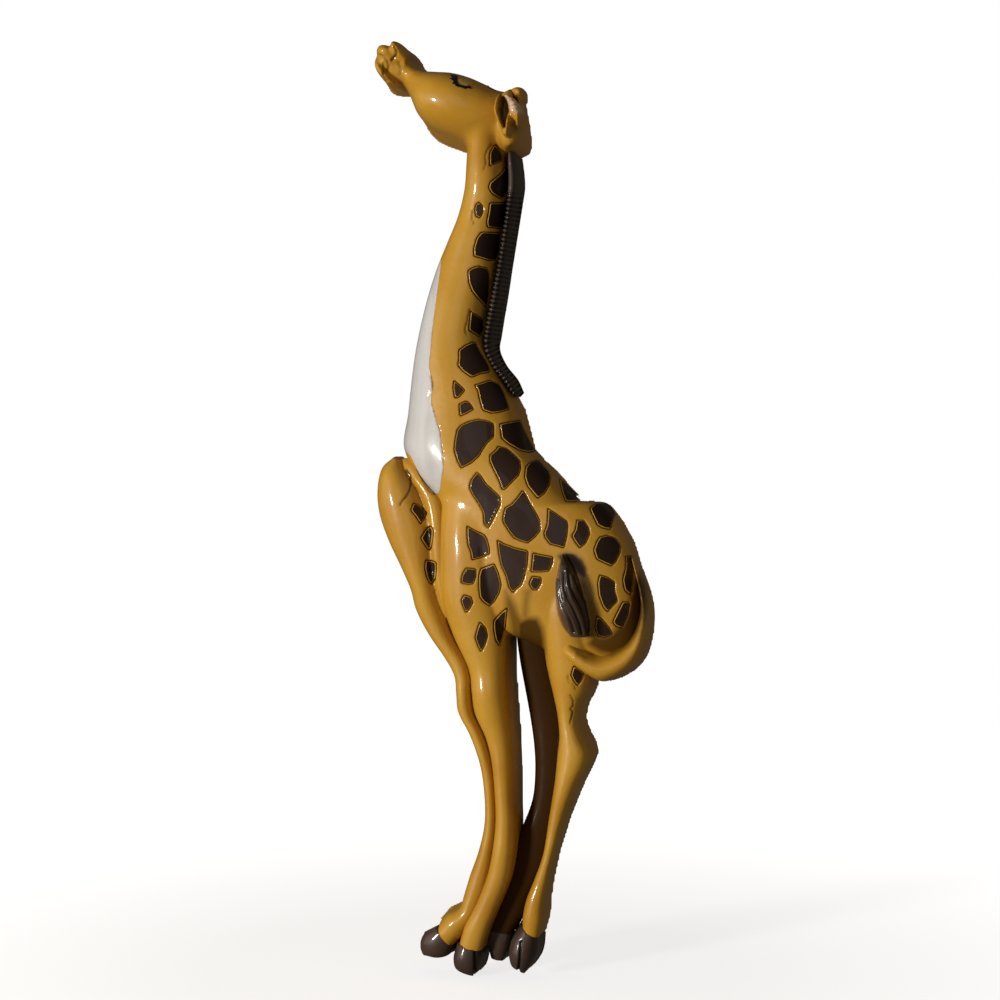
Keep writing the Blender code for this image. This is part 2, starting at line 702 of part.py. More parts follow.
def limb(name, inset=0.0):
    """One limb, closed at the wall. With an inset its surfaces move inwards and it runs on behind."""
    return loft(name, limb_rows(name, SPAN_STEPS), inset, ARC_STEPS)


def loft(name, rows, inset, arc_steps):
    """Closed skin over the rows of a limb, moved inwards by inset."""
    sides = SIDE_SHARES[name]
    back = BEHIND_WALL if inset else 0
    loops = []
    for left, right, crest in trim_ends(rows, inset):
        loops.append(section(left, right, crest, sides, inset, arc_steps, back))
    return mesh_object(name, loops, flat_back=True)


def form(names, inset=0.0):
    """Union of several limbs."""
    limbs = [limb(name, inset) for name in names]
    return combine(limbs[0], "UNION", *limbs[1:])


def hollow(names):
    """The space inside limbs. It is coarser than their outside, with its rows between theirs."""
    spaces = []
    for name in names:
        rows = limb_rows(name, 2)
        between = [rows[0]] + rows[1::2] + [rows[-1]]
        spaces.append(loft(name, between, WALL_THICKNESS, HOLLOW_ARC_STEPS))
    return combine(spaces[0], "UNION", *spaces[1:])


def bodies(bm):
    """Corners of each separate body of a mesh."""
    rest = set(bm.verts)
    found = []
    for start in bm.verts:
        if start not in rest:
            continue
        rest.remove(start)
        queue = [start]
        body = []
        while queue:
            vertex = queue.pop()
            body.append(vertex)
            for edge in vertex.link_edges:
                other = edge.other_vert(vertex)
                if other in rest:
                    rest.remove(other)
                    queue.append(other)
        found.append(body)
    return found


def keep_largest(obj):
    """Drops loose slivers, so that the piece is one solid."""
    bm = bmesh.new()
    bm.from_mesh(obj.data)
    small = sorted(bodies(bm), key=len)[:-1]
    bmesh.ops.delete(bm, geom=[vertex for body in small for vertex in body], context="VERTS")
    bm.to_mesh(obj.data)
    bm.free()
    return obj


def split(obj):
    """One object for each separate body, from the top of the figure down."""
    bm = bmesh.new()
    bm.from_mesh(obj.data)
    count = len(bodies(bm))
    bm.free()
    pieces = []
    for i in range(count):
        bm = bmesh.new()
        bm.from_mesh(obj.data)
        found = sorted(bodies(bm), key=lambda body: -max(vertex.co.z for vertex in body))
        others = found[:i] + found[i + 1 :]
        bmesh.ops.delete(bm, geom=[vertex for body in others for vertex in body], context="VERTS")
        mesh = bpy.data.meshes.new(obj.name)
        bm.to_mesh(mesh)
        bm.free()
        pieces.append(link(bpy.data.objects.new(obj.name, mesh)))
    discard(obj)
    return pieces


def grown(outline, amount):
    """Outline in pixels with each corner moved outwards by amount pixels."""
    count = len(outline)
    area = 0
    for i in range(count):
        here, after = outline[i], outline[(i + 1) % count]
        area += here[0] * after[1] - after[0] * here[1]
    turn = 1 if area > 0 else -1
    out = []
    for i in range(count):
        before, here, after = outline[i - 1], outline[i], outline[(i + 1) % count]
        first = Vector((here[1] - before[1], before[0] - here[0])).normalized() * turn
        second = Vector((after[1] - here[1], here[0] - after[0])).normalized() * turn
        mitre = first + second
        reach = amount * 2 / max(mitre.length_squared, 1)
        out.append((here[0] + mitre.x * reach, here[1] + mitre.y * reach))
    return out


def stamp(outlines, near_depth, far_depth, grow=0.0):
    """Straight columns along the lines of sight through pixel outlines, between two depths."""
    pixels = grow * FIGURE_HEIGHT_PX / FIGURE_HEIGHT
    columns = []
    for outline in outlines:
        edge = grown(outline, pixels)
        loops = [[from_photo(pixel, depth) for pixel in edge] for depth in (near_depth, far_depth)]
        columns.append(mesh_object("stamp", loops))
    base = columns[0]
    if len(columns) > 1:
        bm = bmesh.new()
        for column in columns:
            bm.from_mesh(column.data)
        bm.to_mesh(base.data)
        bm.free()
        discard(*columns[1:])
    return base


def box(name, low, high):
    """Upright block between two corners."""
    loops = []
    for z in (low[2], high[2]):
        corners = ((low[0], low[1]), (high[0], low[1]), (high[0], high[1]), (low[0], high[1]))
        loops.append([Vector((x, y, z)) for x, y in corners])
    return mesh_object(name, loops)


def inlay(name, outlines, names, far_depth):
    """Thin painted areas that follow the limbs' surface."""
    skin = stamp(outlines, FRONT_REACH, far_depth)
    combine(skin, "INTERSECT", form(names))
    combine(skin, "DIFFERENCE", form(names, PAINT_THICKNESS))
    skin.name = name
    return skin


def pocket(outlines, names, far_depth, depth, grow):
    """Cutter for the seat of painted areas, or for a fold."""
    cutter = stamp(outlines, FRONT_REACH, far_depth, grow)
    return combine(cutter, "DIFFERENCE", form(names, depth))


def finish(obj, name, material):
    """Names the piece and gives it its material."""
    obj.name = name
    obj.data.name = name
    obj.hide_render = False
    obj.display_type = "TEXTURED"
    tidy(obj.data)
    obj.data.materials.clear()
    obj.data.materials.append(material)
    for polygon in obj.data.polygons:
        polygon.use_smooth = True
        polygon.material_index = 0
    obj.data.set_sharp_from_angle(angle=math.radians(35))
    return obj


def painted(name, recipe):
    """Principled material from a colour, a roughness and a metallic value."""
    colour, roughness, metallic = recipe
    material = bpy.data.materials.new(name)
    material.use_nodes = True
    shader = material.node_tree.nodes["Principled BSDF"]
    shader.inputs["Base Color"].default_value = (*colour, 1)
    shader.inputs["Roughness"].default_value = roughness
    shader.inputs["Metallic"].default_value = metallic
    material.diffuse_color = (*colour, 1)
    return material


def seat(names):
    """Room that the limbs need inside a neighbour, with the seat gap round them."""
    return form(names, -SEAT_GAP)


def keep_front(obj, depth):
    """Cuts away all of a piece that lies nearer to the wall than depth."""
    low = (-FIGURE_HEIGHT, -depth, -FIGURE_HEIGHT)
    high = (FIGURE_HEIGHT, FRONT_REACH, FIGURE_HEIGHT)
    return combine(obj, "DIFFERENCE", box("back", low, high))


def keyhole():
    """Cutter for a round hole for the nail head with a slot above it."""
    low_centre = Vector((0, 0, KEYHOLE_SLOT / 2 - KEYHOLE_RISE))
    loops = []
    for y in (-BRACKET_THICKNESS * 2, BRACKET_THICKNESS):
        loop = []
        for i in range(KEYHOLE_SIDES):
            angle = math.tau * i / KEYHOLE_SIDES
            spoke = Vector((math.cos(angle), 0, math.sin(angle))) * (KEYHOLE_HEAD / 2)
            loop.append(low_centre + spoke + Vector((0, y, 0)))
        loops.append(loop)
    hole = mesh_object("hole", loops)
    loops = []
    for y in (-BRACKET_THICKNESS * 2, BRACKET_THICKNESS):
        loop = [Vector((-KEYHOLE_SLOT / 2, y, low_centre.z)), Vector((KEYHOLE_SLOT / 2, y, low_centre.z))]
        for i in range(KEYHOLE_SIDES // 2 + 1):
            angle = math.tau * i / KEYHOLE_SIDES
            spoke = Vector((math.cos(angle), 0, math.sin(angle))) * (KEYHOLE_SLOT / 2)
            loop.append(spoke + Vector((0, y, -KEYHOLE_SLOT / 2)))
        loops.append(loop)
    return combine(hole, "UNION", mesh_object("slot", loops))


def back_plates():
    """Level bridge across the shoulders with the keyhole in it, and webs across the trunk."""
    top = BRACKET_HEIGHT / 3
    low = (-FIGURE_HEIGHT, -BRACKET_THICKNESS, top - BRACKET_HEIGHT)
    plates = box("plates", low, (FIGURE_HEIGHT, 0, top))
    for corner_px, far_px in WEBS_PX:
        low, high = from_photo(corner_px, 0), from_photo(far_px, 0)
        wide = abs(high.x - low.x) > abs(high.z - low.z)
        half = Vector((0, 0, WEB_THICKNESS / 2)) if wide else Vector((WEB_THICKNESS / 2, 0, 0))
        first, second = low - half, high + half
        web = box("web", (first.x, -RELIEF_DEPTH, first.z), (second.x, 0, second.z))
        combine(plates, "UNION", web)
    combine(plates, "INTERSECT", form(HOLLOW_LIMBS, WALL_THICKNESS / 2))
    return combine(plates, "DIFFERENCE", keyhole())


def body_shell():
    """Head, neck, trunk and the two near legs: one hollow shell, open at the wall."""
    body = form(BODY_LIMBS)
    combine(body, "DIFFERENCE", hollow(HOLLOW_LIMBS))
    combine(body, "UNION", back_plates())
    spots = NECK_SPOTS_PX + SHOULDER_SPOTS_PX + FLANK_SPOTS_PX + RUMP_SPOTS_PX
    spots = spots + NEAR_FORELEG_SPOTS_PX + NEAR_HINDLEG_SPOTS_PX
    seat_depth = PAINT_THICKNESS + SEAT_GAP
    combine(body, "DIFFERENCE", pocket(spots, BODY_LIMBS, PAINT_REACH, seat_depth, GROOVE_WIDTH))
    lash_px = NEAR_LASHES_PX + FAR_LASHES_PX
    combine(body, "DIFFERENCE", pocket(lash_px, BODY_LIMBS, LASH_REACH, seat_depth, SEAT_GAP))
    combine(body, "DIFFERENCE", pocket([BIB_PX], BODY_LIMBS, -BEHIND_WALL / 2, seat_depth, SEAT_GAP))
    folds = MUZZLE_FOLDS_PX + THIGH_FOLDS_PX
    combine(body, "DIFFERENCE", pocket(folds, BODY_LIMBS, PAINT_REACH, FOLD_DEPTH, 0))
    return keep_largest(body)


def bib():
    """Pale chest, wrapped round the figure's side down to the wall."""
    return inlay("bib", [BIB_PX], BODY_LIMBS, -BEHIND_WALL / 2)


def far_leg(name, spots, folds):
    """A far leg: a hollow shell of its own that closes against the body."""
    leg = combine(limb(name), "DIFFERENCE", seat(BODY_LIMBS))
    inside = hollow([name])
    combine(inside, "DIFFERENCE", form(BODY_LIMBS, -SEAT_GAP - WALL_THICKNESS))
    combine(leg, "DIFFERENCE", inside)
    if spots:
        seat_depth = PAINT_THICKNESS + SEAT_GAP
        combine(leg, "DIFFERENCE", pocket(spots, [name], PAINT_REACH, seat_depth, GROOVE_WIDTH))
    if folds:
        combine(leg, "DIFFERENCE", pocket(folds, [name], PAINT_REACH, FOLD_DEPTH, 0))
    return keep_largest(leg)


def hoof(name, neighbours, clefts):
    """A hoof: a hollow cap below its leg."""
    cap = combine(limb(name), "DIFFERENCE", hollow([name]), seat(BODY_LIMBS))
    for neighbour in neighbours:
        combine(cap, "DIFFERENCE", seat([neighbour]))
    if clefts:
        combine(cap, "DIFFERENCE", pocket(clefts, [name], PAINT_REACH, FOLD_DEPTH, 0))
    return cap


def tail():
    """Tail from the rump round to the thigh."""
    return combine(limb("tail"), "DIFFERENCE", seat(BODY_LIMBS))


def tuft():
    """Leaf-shaped tuft that lies on the thigh, with strands cut into it."""
    leaf = combine(limb("tuft"), "DIFFERENCE", seat(BODY_LIMBS), seat(["tail"]))
    combine(leaf, "DIFFERENCE", pocket(TUFT_STRANDS_PX, ["tuft"], PAINT_REACH, FOLD_DEPTH, 0))
    return keep_front(leaf, PAINT_REACH)


def mane():
    """Strip along the back of the neck with ribs across its inner part."""
    rows = limb_rows("mane", RIBS_PER_STATION * 2)
    loops = []
    for i, (left, right, crest) in enumerate(rows):
        ring = section(left, right, crest, SIDE_SHARES["mane"], 0, ARC_STEPS, 0)
        if i % 2 and i > FIRST_RIB_ROW:
            for k in range(2, ARC_STEPS + 2):
                ring[k].y += RIB_DEPTH
        loops.append(ring)
    return combine(mesh_object("mane", loops, flat_back=True), "DIFFERENCE", seat(BODY_LIMBS))


def near_ear():
    """Near ear: front rim, back lobe and two curled ends, with the hollow between rim and lobe."""
    ear = combine(form(EAR_LIMBS), "DIFFERENCE", seat(BODY_LIMBS))
    return keep_front(ear, EAR_REACH)


def far_ear():
    """Tip of the far ear and horn that show above the near ear."""
    tip = combine(limb("horn"), "DIFFERENCE", seat(BODY_LIMBS), seat(EAR_LIMBS))
    return keep_largest(keep_front(tip, HORN_REACH))


def lashes(name, outlines):
    """Painted lashes that stand a little proud of the closed lid."""
    skin = stamp(outlines, FRONT_REACH, LASH_REACH)
    combine(skin, "INTERSECT", form(BODY_LIMBS, -LASH_RISE))
    return combine(skin, "DIFFERENCE", form(BODY_LIMBS, PAINT_THICKNESS))


def build():
    clear_scene()
    mustard = painted("mustard_enamel", MUSTARD)
    spot_brown = painted("spot_brown", SPOT_BROWN)
    mane_brown = painted("mane_brown", MANE_BROWN)
    bib_white = painted("bib_white", BIB_WHITE)
    hoof_brown = painted("hoof_brown", HOOF_BROWN)
    tuft_brown = painted("tuft_brown", TUFT_BROWN)
    lash_black = painted("lash_black", LASH_BLACK)
    finish(body_shell(), "body_shell", mustard)
    finish(far_leg("far_foreleg", FAR_FORELEG_SPOTS_PX, SHOULDER_FOLDS_PX), "far_foreleg", mustard)
    finish(far_leg("far_hindleg", [], []), "far_hindleg", mustard)
    finish(tail(), "tail", mustard)
    finish(near_ear(), "near_ear", mustard)
    finish(far_ear(), "far_ear", mustard)
    finish(bib(), "chest_bib", bib_white)
    finish(mane(), "mane", mane_brown)
    finish(tuft(), "tail_tuft", tuft_brown)
    finish(hoof("near_fore_hoof", ["far_foreleg"], NEAR_FORE_CLEFT_PX), "near_fore_hoof", hoof_brown)
    near = ["far_foreleg", "near_fore_hoof"]
    finish(hoof("far_fore_hoof", near, []), "far_fore_hoof", hoof_brown)
    near = ["far_hindleg", "near_fore_hoof"]
    finish(hoof("near_hind_hoof", near, NEAR_HIND_CLEFT_PX), "near_hind_hoof", hoof_brown)
    near = ["far_hindleg", "near_fore_hoof", "near_hind_hoof"]
    finish(hoof("far_hind_hoof", near, []), "far_hind_hoof", hoof_brown)
    finish(lashes("near_lashes", NEAR_LASHES_PX), "near_lashes", lash_black)
    finish(lashes("far_lashes", FAR_LASHES_PX), "far_lashes", lash_black)
    groups = (
        ("neck_spot", NECK_SPOTS_PX, BODY_LIMBS),
        ("shoulder_spot", SHOULDER_SPOTS_PX, BODY_LIMBS),
        ("flank_spot", FLANK_SPOTS_PX, BODY_LIMBS),
        ("rump_spot", RUMP_SPOTS_PX, BODY_LIMBS),
        ("near_foreleg_spot", NEAR_FORELEG_SPOTS_PX, BODY_LIMBS),
        ("far_foreleg_spot", FAR_FORELEG_SPOTS_PX, ["far_foreleg"]),
        ("near_hindleg_spot", NEAR_HINDLEG_SPOTS_PX, BODY_LIMBS),
    )
    for name, outlines, names in groups:
        for i, spot in enumerate(split(inlay(name, outlines, names, PAINT_REACH))):
            finish(spot, f"{name}_{i + 1}", spot_brown)


build()
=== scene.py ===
"""Giraffe wall figure, dressed as a glossy enamelled moulding and seen at the photograph's angle.

Places in pixels are read from the reference photograph, and from_photo() turns a pixel into a real
place at a depth from the wall. The limbs are laid out as in the CAD but with many more rows, and
are melted into smooth skins. The CAD's own shells, with their hollow backs, are drawn onto those skins.
Painted areas and engraved lines are then cut into the skins along their outlines.
"""

import math

import bmesh
import bpy
import numpy as np
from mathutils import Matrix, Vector
from mathutils.bvhtree import BVHTree


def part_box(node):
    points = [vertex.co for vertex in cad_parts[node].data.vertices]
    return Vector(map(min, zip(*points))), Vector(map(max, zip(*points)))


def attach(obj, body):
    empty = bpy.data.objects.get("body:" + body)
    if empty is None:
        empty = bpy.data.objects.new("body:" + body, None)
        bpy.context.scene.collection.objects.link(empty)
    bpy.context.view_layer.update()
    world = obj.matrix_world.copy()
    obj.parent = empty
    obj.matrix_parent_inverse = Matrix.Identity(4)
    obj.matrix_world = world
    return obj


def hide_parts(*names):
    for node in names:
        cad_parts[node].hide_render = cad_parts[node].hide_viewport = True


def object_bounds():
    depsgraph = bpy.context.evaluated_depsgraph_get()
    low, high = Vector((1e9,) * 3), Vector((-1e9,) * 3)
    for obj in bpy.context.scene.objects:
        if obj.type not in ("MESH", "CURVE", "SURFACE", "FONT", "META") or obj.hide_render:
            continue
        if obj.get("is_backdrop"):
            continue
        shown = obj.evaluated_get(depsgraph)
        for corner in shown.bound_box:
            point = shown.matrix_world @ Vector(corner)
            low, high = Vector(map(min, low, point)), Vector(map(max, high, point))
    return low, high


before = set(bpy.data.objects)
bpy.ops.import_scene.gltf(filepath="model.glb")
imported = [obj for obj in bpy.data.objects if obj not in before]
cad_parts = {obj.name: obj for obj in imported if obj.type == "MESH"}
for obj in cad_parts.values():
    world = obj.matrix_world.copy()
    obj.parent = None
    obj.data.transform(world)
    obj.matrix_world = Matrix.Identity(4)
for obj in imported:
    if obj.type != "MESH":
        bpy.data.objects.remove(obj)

CAD_BOX = [list(corner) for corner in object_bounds()]
MM = 0.001

# The figure, as in the CAD
FIGURE_HEIGHT = 430 * MM
RELIEF_DEPTH = 46 * MM

# How the photograph looks at it
VIEW_DISTANCE = 900 * MM
VIEW_TURN = math.radians(10)
VIEW_CENTRE_PX = (500, 500)
PICTURE_PX = 1000
FIGURE_HEIGHT_PX = 934
KEYHOLE_PX = (466, 428)
SENSOR_WIDTH_MM = 36
TO_EYE = Vector((math.sin(VIEW_TURN), -math.cos(VIEW_TURN), 0))
ACROSS = Vector((math.cos(VIEW_TURN), math.sin(VIEW_TURN), 0))
SCALE = FIGURE_HEIGHT / FIGURE_HEIGHT_PX
PX_MM = SCALE / MM

# How finely limbs are laid out, and their section
ARC_STEPS = 14
SPAN_STEPS = 7
DOME_POWER = 2.3
DRAFT_SHARE = 0.10
MOST_DRAFT_SHARE = 0.2
LOWEST_CREST_SHARE = 0.9
BEHIND_WALL = 3 * MM

# How skins are melted together, drawn onto the limbs and smoothed
BODY_GRAIN = 0.7 * MM
LIMB_GRAIN = 0.6 * MM
FINE_GRAIN = 0.4 * MM
LASH_GRAIN = 0.25 * MM
SWELL = 0.2 * MM
WELD_REACH = SWELL / 20
RAY_START = SWELL * 2
DRAW_REACH = 3 * MM
SAME_SIDE = -0.2
RIM_DEPTH = 0.9 * MM
KEEP_FORM = (0.5, -0.52)
MODEL_ROUNDS = 6
DRAWN_ROUNDS = 3
DRAWN_WEIGHT = 0.6
EVEN_SHARE = 0.5

# Cuts along painted outlines: millimetres outside an outline, and how far the surface moves there
SPOT_LEVELS_MM = (0.6, 0.3, 0.0, -0.3, -0.7, -1.1)
SKIN_PROFILE_MM = ((0.0, -1.2), (0.3, -0.3), (0.6, 0.0))
SPOT_PROFILE_MM = ((-1.1, -0.02), (-0.7, 0.08), (-0.3, -0.15), (0.0, -0.8))
BIB_LEVELS_MM = (0.12, 0.0)
BIB_SKIN_PROFILE_MM = ((0.0, -1.2), (0.12, 0.0))
BIB_PROFILE_MM = ((-0.3, 0.03), (0.0, -0.05))
LASH_LEVELS_MM = (0.0, -0.15)
LASH_PROFILE_MM = ((-0.15, 0.22), (0.0, 0.05))

# How far the backs of plates lie behind the skin
LASH_BACK_MM = 0.4
PLATE_BACK_MM = 1.1

# How near an outline cuts are made, and how edges are cut and corners rounded
BAND_MM = 2.0
FAR_MM = 50.0
SNAP_SHARE = 0.1
INSIDE_MM = 0.001
CORNER_SHARE = 0.09
CORNER_ROUNDS = 2

# Dark wash: its strength at a spot's outline and the width in which it falls by 1, and its strength in
# engraved lines and in folds
OUTLINE_WASH = 1.25
WASH_WIDTH_MM = 0.32
WASH_PER_MM = 2
FOLD_WASH = 0.45

# Limbs: the shares of the relief depth at which the left and right side walls end and the dome begins,
# then stations: left rail pixel, right rail pixel and the crest's share of the relief depth. The last
# two fill in what the CAD leaves open: the fold between far foreleg and chest, and the tail's end
LIMBS = {
    "neck_and_trunk": ((0.26, 0.3), [
        (476, 118, 512, 116, 0.82), (471, 138, 514, 137, 0.84), (467, 160, 514, 159, 0.75),
        (464, 190, 515, 190, 0.64), (457, 218, 511, 218, 0.6), (446, 245, 507, 243, 0.6),
        (435, 272, 503, 270, 0.6), (425, 305, 496, 303, 0.62), (416, 345, 491, 342, 0.64),
        (411, 378, 506, 374, 0.67), (407, 415, 526, 410, 0.7), (403, 448, 536, 449, 0.73),
        (418, 478, 558, 471, 0.75), (437, 502, 584, 499, 0.76), (440, 532, 611, 505, 0.75),
        (445, 570, 635, 542, 0.73), (460, 602, 644, 578, 0.7), (492, 626, 648, 610, 0.66),
        (528, 642, 645, 640, 0.6), (560, 655, 628, 662, 0.5),
    ]),
    "head": ((0.4, 0.5), [
        (426, 70, 414, 97, 0.66), (433, 71, 421, 112, 0.8), (446, 72, 428, 130, 0.93),
        (460, 73, 439, 142, 0.99), (475, 77, 457, 150, 1), (489, 83, 476, 156, 0.95),
        (499, 88, 495, 157, 0.88), (508, 90, 510, 155, 0.8),
    ]),
    "muzzle": ((0.36, 0.36), [
        (401, 50, 388, 67, 0.58), (404, 49, 387, 79, 0.72), (410, 52, 389, 89, 0.78),
        (417, 60, 397, 96, 0.72), (426, 70, 413, 98, 0.7), (436, 73, 421, 112, 0.76),
    ]),
    "upper_lip": ((0.36, 0.36), [
        (384, 47, 378, 58, 0.58), (390, 46, 381, 65, 0.77), (398, 48, 388, 70, 0.82),
        (406, 54, 398, 72, 0.74),
    ]),
    "nostril": ((0.36, 0.36), [
        (396, 46, 394, 56, 0.64), (399, 42, 397, 62, 0.82), (405, 44, 401, 68, 0.85),
        (413, 54, 409, 73, 0.74),
    ]),
    "lower_lip": ((0.36, 0.36), [
        (377, 60, 388, 62, 0.64), (377, 69, 392, 71, 0.77), (380, 77, 396, 80, 0.79),
        (388, 87, 402, 88, 0.7),
    ]),
    "nape": ((0.6, 0.68), [
        (497, 104, 526, 102, 0.8), (495, 116, 528, 113, 0.82), (495, 130, 531, 130, 0.82),
        (498, 146, 532, 148, 0.8), (503, 152, 529, 155, 0.76),
    ]),
    "near_foreleg": ((0.3, 0.36), [
        (442, 478, 508, 480, 0.66), (439, 520, 513, 525, 0.72), (438, 560, 515, 570, 0.72),
        (440, 598, 516, 605, 0.69), (452, 635, 517, 640, 0.65), (467, 668, 517, 668, 0.62),
        (470, 690, 519, 690, 0.63), (473, 712, 520, 712, 0.59), (484, 737, 522, 737, 0.55),
        (490, 762, 523, 762, 0.54), (493, 790, 523, 790, 0.53), (494, 818, 524, 818, 0.53),
        (491, 846, 523, 846, 0.53), (485, 874, 518, 874, 0.51), (474, 902, 506, 903, 0.49),
        (463, 922, 497, 925, 0.48), (457, 943, 491, 943, 0.46),
    ]),
    "near_hindleg": ((0.3, 0.34), [
        (526, 560, 596, 548, 0.66), (535, 605, 602, 600, 0.7), (541, 640, 603, 648, 0.66),
        (545, 665, 599, 684, 0.61), (551, 692, 591, 700, 0.56), (556, 717, 587, 717, 0.54),
        (557, 735, 592, 732, 0.55), (555, 755, 599, 752, 0.56), (552, 785, 585, 783, 0.54),
        (548, 815, 572, 815, 0.5), (543, 850, 561, 850, 0.47), (534, 876, 555, 877, 0.46),
        (525, 897, 552, 897, 0.47), (521, 914, 551, 913, 0.47), (521, 928, 546, 931, 0.44),
    ]),
    "far_foreleg": ((0.22, 0.2), [
        (397, 455, 411, 464, 0.5), (383, 467, 424, 481, 0.6), (378, 490, 436, 500, 0.64),
        (380, 514, 446, 522, 0.64), (389, 540, 448, 546, 0.62), (401, 565, 448, 570, 0.6),
        (411, 588, 450, 593, 0.57), (416, 608, 457, 616, 0.54), (428, 632, 465, 636, 0.52),
        (444, 656, 478, 658, 0.5), (454, 674, 482, 675, 0.5), (456, 692, 482, 692, 0.5),
        (458, 711, 484, 710, 0.48), (470, 735, 494, 733, 0.46), (480, 765, 502, 763, 0.44),
        (484, 795, 505, 793, 0.43), (484, 822, 505, 822, 0.43), (478, 848, 502, 850, 0.43),
        (469, 873, 496, 880, 0.42), (463, 893, 488, 902, 0.42), (459, 905, 480, 916, 0.42),
        (447, 911, 470, 930, 0.42), (436, 923, 459, 942, 0.4),
    ]),
    "far_hindleg": ((0.14, 0.14), [
        (514, 606, 556, 600, 0.4), (516, 636, 558, 636, 0.36), (519, 660, 560, 664, 0.31),
        (524, 688, 564, 692, 0.28), (529, 716, 568, 720, 0.26), (533, 745, 568, 750, 0.26),
        (534, 772, 566, 780, 0.26), (531, 800, 562, 810, 0.26), (520, 829, 556, 840, 0.26),
        (510, 856, 548, 864, 0.26), (501, 886, 534, 892, 0.26), (492, 912, 524, 916, 0.26),
        (487, 928, 516, 930, 0.26),
    ]),
    "tail": ((0.36, 0.34), [
        (632, 556, 640, 558, 0.56), (637, 574, 645, 573, 0.62), (640, 590, 651, 590, 0.64),
        (641, 606, 655, 610, 0.66), (637, 623, 654, 632, 0.68), (629, 637, 648, 655, 0.7),
        (618, 646, 634, 671, 0.72), (604, 650, 611, 681, 0.73), (592, 648, 594, 674, 0.74),
        (583, 642, 579, 662, 0.75),
    ]),
    "tuft": ((0.6, 0.6), [
        (561, 554, 567, 554, 0.8), (556, 566, 576, 566, 0.84), (552, 585, 583, 583, 0.87),
        (552, 606, 588, 602, 0.87), (557, 625, 591, 620, 0.85), (567, 637, 591, 637, 0.8),
    ]),
    "mane": ((0.3, 0.34), [
        (508, 150, 520, 150, 0.5), (508, 165, 523, 163, 0.5), (508, 190, 525, 188, 0.48),
        (505, 218, 521, 215, 0.47), (501, 243, 517, 243, 0.47), (497, 270, 513, 270, 0.47),
        (490, 303, 508, 303, 0.48), (485, 335, 502, 335, 0.5), (486, 352, 500, 350, 0.51),
        (493, 368, 507, 366, 0.51), (505, 384, 518, 380, 0.5), (514, 397, 524, 393, 0.46),
    ]),
    "ear_front": ((0.8, 0.8), [
        (499, 94, 504, 96, 0.98), (496, 103, 503, 104, 1.07), (495, 114, 502, 114, 1.09),
        (498, 124, 505, 123, 1.05), (502, 136, 508, 134, 0.96),
    ]),
    "ear_back": ((0.9, 0.98), [
        (503, 96, 509, 95, 1), (506, 102, 516, 99, 1.03), (507, 110, 522, 106, 1.06),
        (508, 117, 523, 114, 1.05), (510, 122, 522, 119, 1.01),
    ]),
    "ear_curl": ((0.8, 0.8), [
        (507, 114, 513, 115, 1.02), (506, 122, 513, 122, 1.08), (505, 129, 511, 129, 1.05),
        (503, 136, 508, 135, 0.97),
    ]),
    "ear_lobe": ((0.8, 0.8), [
        (514, 113, 523, 111, 1.02), (514, 120, 524, 118, 1.09), (516, 127, 521, 125, 1.01),
    ]),
    "horn": ((0.52, 0.52), [
        (509, 96, 512, 91, 0.7), (512, 98, 520, 87, 0.76), (516, 102, 526, 89, 0.78),
        (519, 108, 527, 100, 0.74),
    ]),
    "near_fore_hoof": ((0.26, 0.28), [
        (456, 940, 491, 940, 0.46), (452, 954, 489, 954, 0.47), (453, 965, 486, 964, 0.42),
        (459, 971, 480, 970, 0.3),
    ]),
    "far_fore_hoof": ((0.2, 0.18), [
        (437, 918, 463, 937, 0.38), (425, 929, 456, 950, 0.38), (420, 938, 444, 954, 0.34),
        (420, 946, 428, 952, 0.22),
    ]),
    "near_hind_hoof": ((0.26, 0.26), [
        (520, 923, 546, 927, 0.44), (511, 935, 545, 942, 0.46), (507, 949, 542, 953, 0.46),
        (509, 962, 535, 963, 0.4), (515, 968, 529, 968, 0.28),
    ]),
    "far_hind_hoof": ((0.14, 0.14), [
        (487, 925, 517, 927, 0.26), (487, 943, 513, 945, 0.26), (490, 957, 508, 957, 0.22),
    ]),
    "leg_fold": ((0.36, 0.4), [
        (395, 459, 413, 457, 0.42), (401, 470, 420, 463, 0.5), (409, 482, 430, 477, 0.54),
        (417, 494, 440, 489, 0.56), (421, 506, 447, 504, 0.565), (425, 522, 449, 522, 0.57),
        (427, 542, 450, 542, 0.565), (429, 562, 450, 562, 0.55), (432, 582, 450, 582, 0.53),
        (437, 602, 453, 602, 0.5), (443, 618, 457, 617, 0.44),
    ]),
    "tail_end": ((0.36, 0.34), [
        (600, 650, 604, 679, 0.7), (592, 648, 594, 674, 0.74), (584, 642, 580, 664, 0.74),
        (578, 636, 568, 654, 0.69), (577, 628, 561, 640, 0.54),
    ]),
}
# Depth shares at which the rails of raised pieces were read; other limbs: left shoulder, right rim
RAISED_SHARES = {
    "tuft": (0.72, 0.72),
    "ear_front": (0.9, 0.9),
    "ear_back": (0.95, 0.95),
    "ear_curl": (0.95, 0.95),
    "ear_lobe": (0.95, 0.95),
    "horn": (0.6, 0.6),
    "upper_lip": (0.45, 0.45),
    "nostril": (0.5, 0.5),
    "lower_lip": (0.45, 0.45),
    "leg_fold": (0.45, 0.45),
}
BODY_LIMBS = ("neck_and_trunk", "head", "muzzle", "nape", "near_foreleg", "near_hindleg", "upper_lip",
              "nostril", "lower_lip")
EAR_LIMBS = ("ear_front", "ear_back", "ear_curl", "ear_lobe")

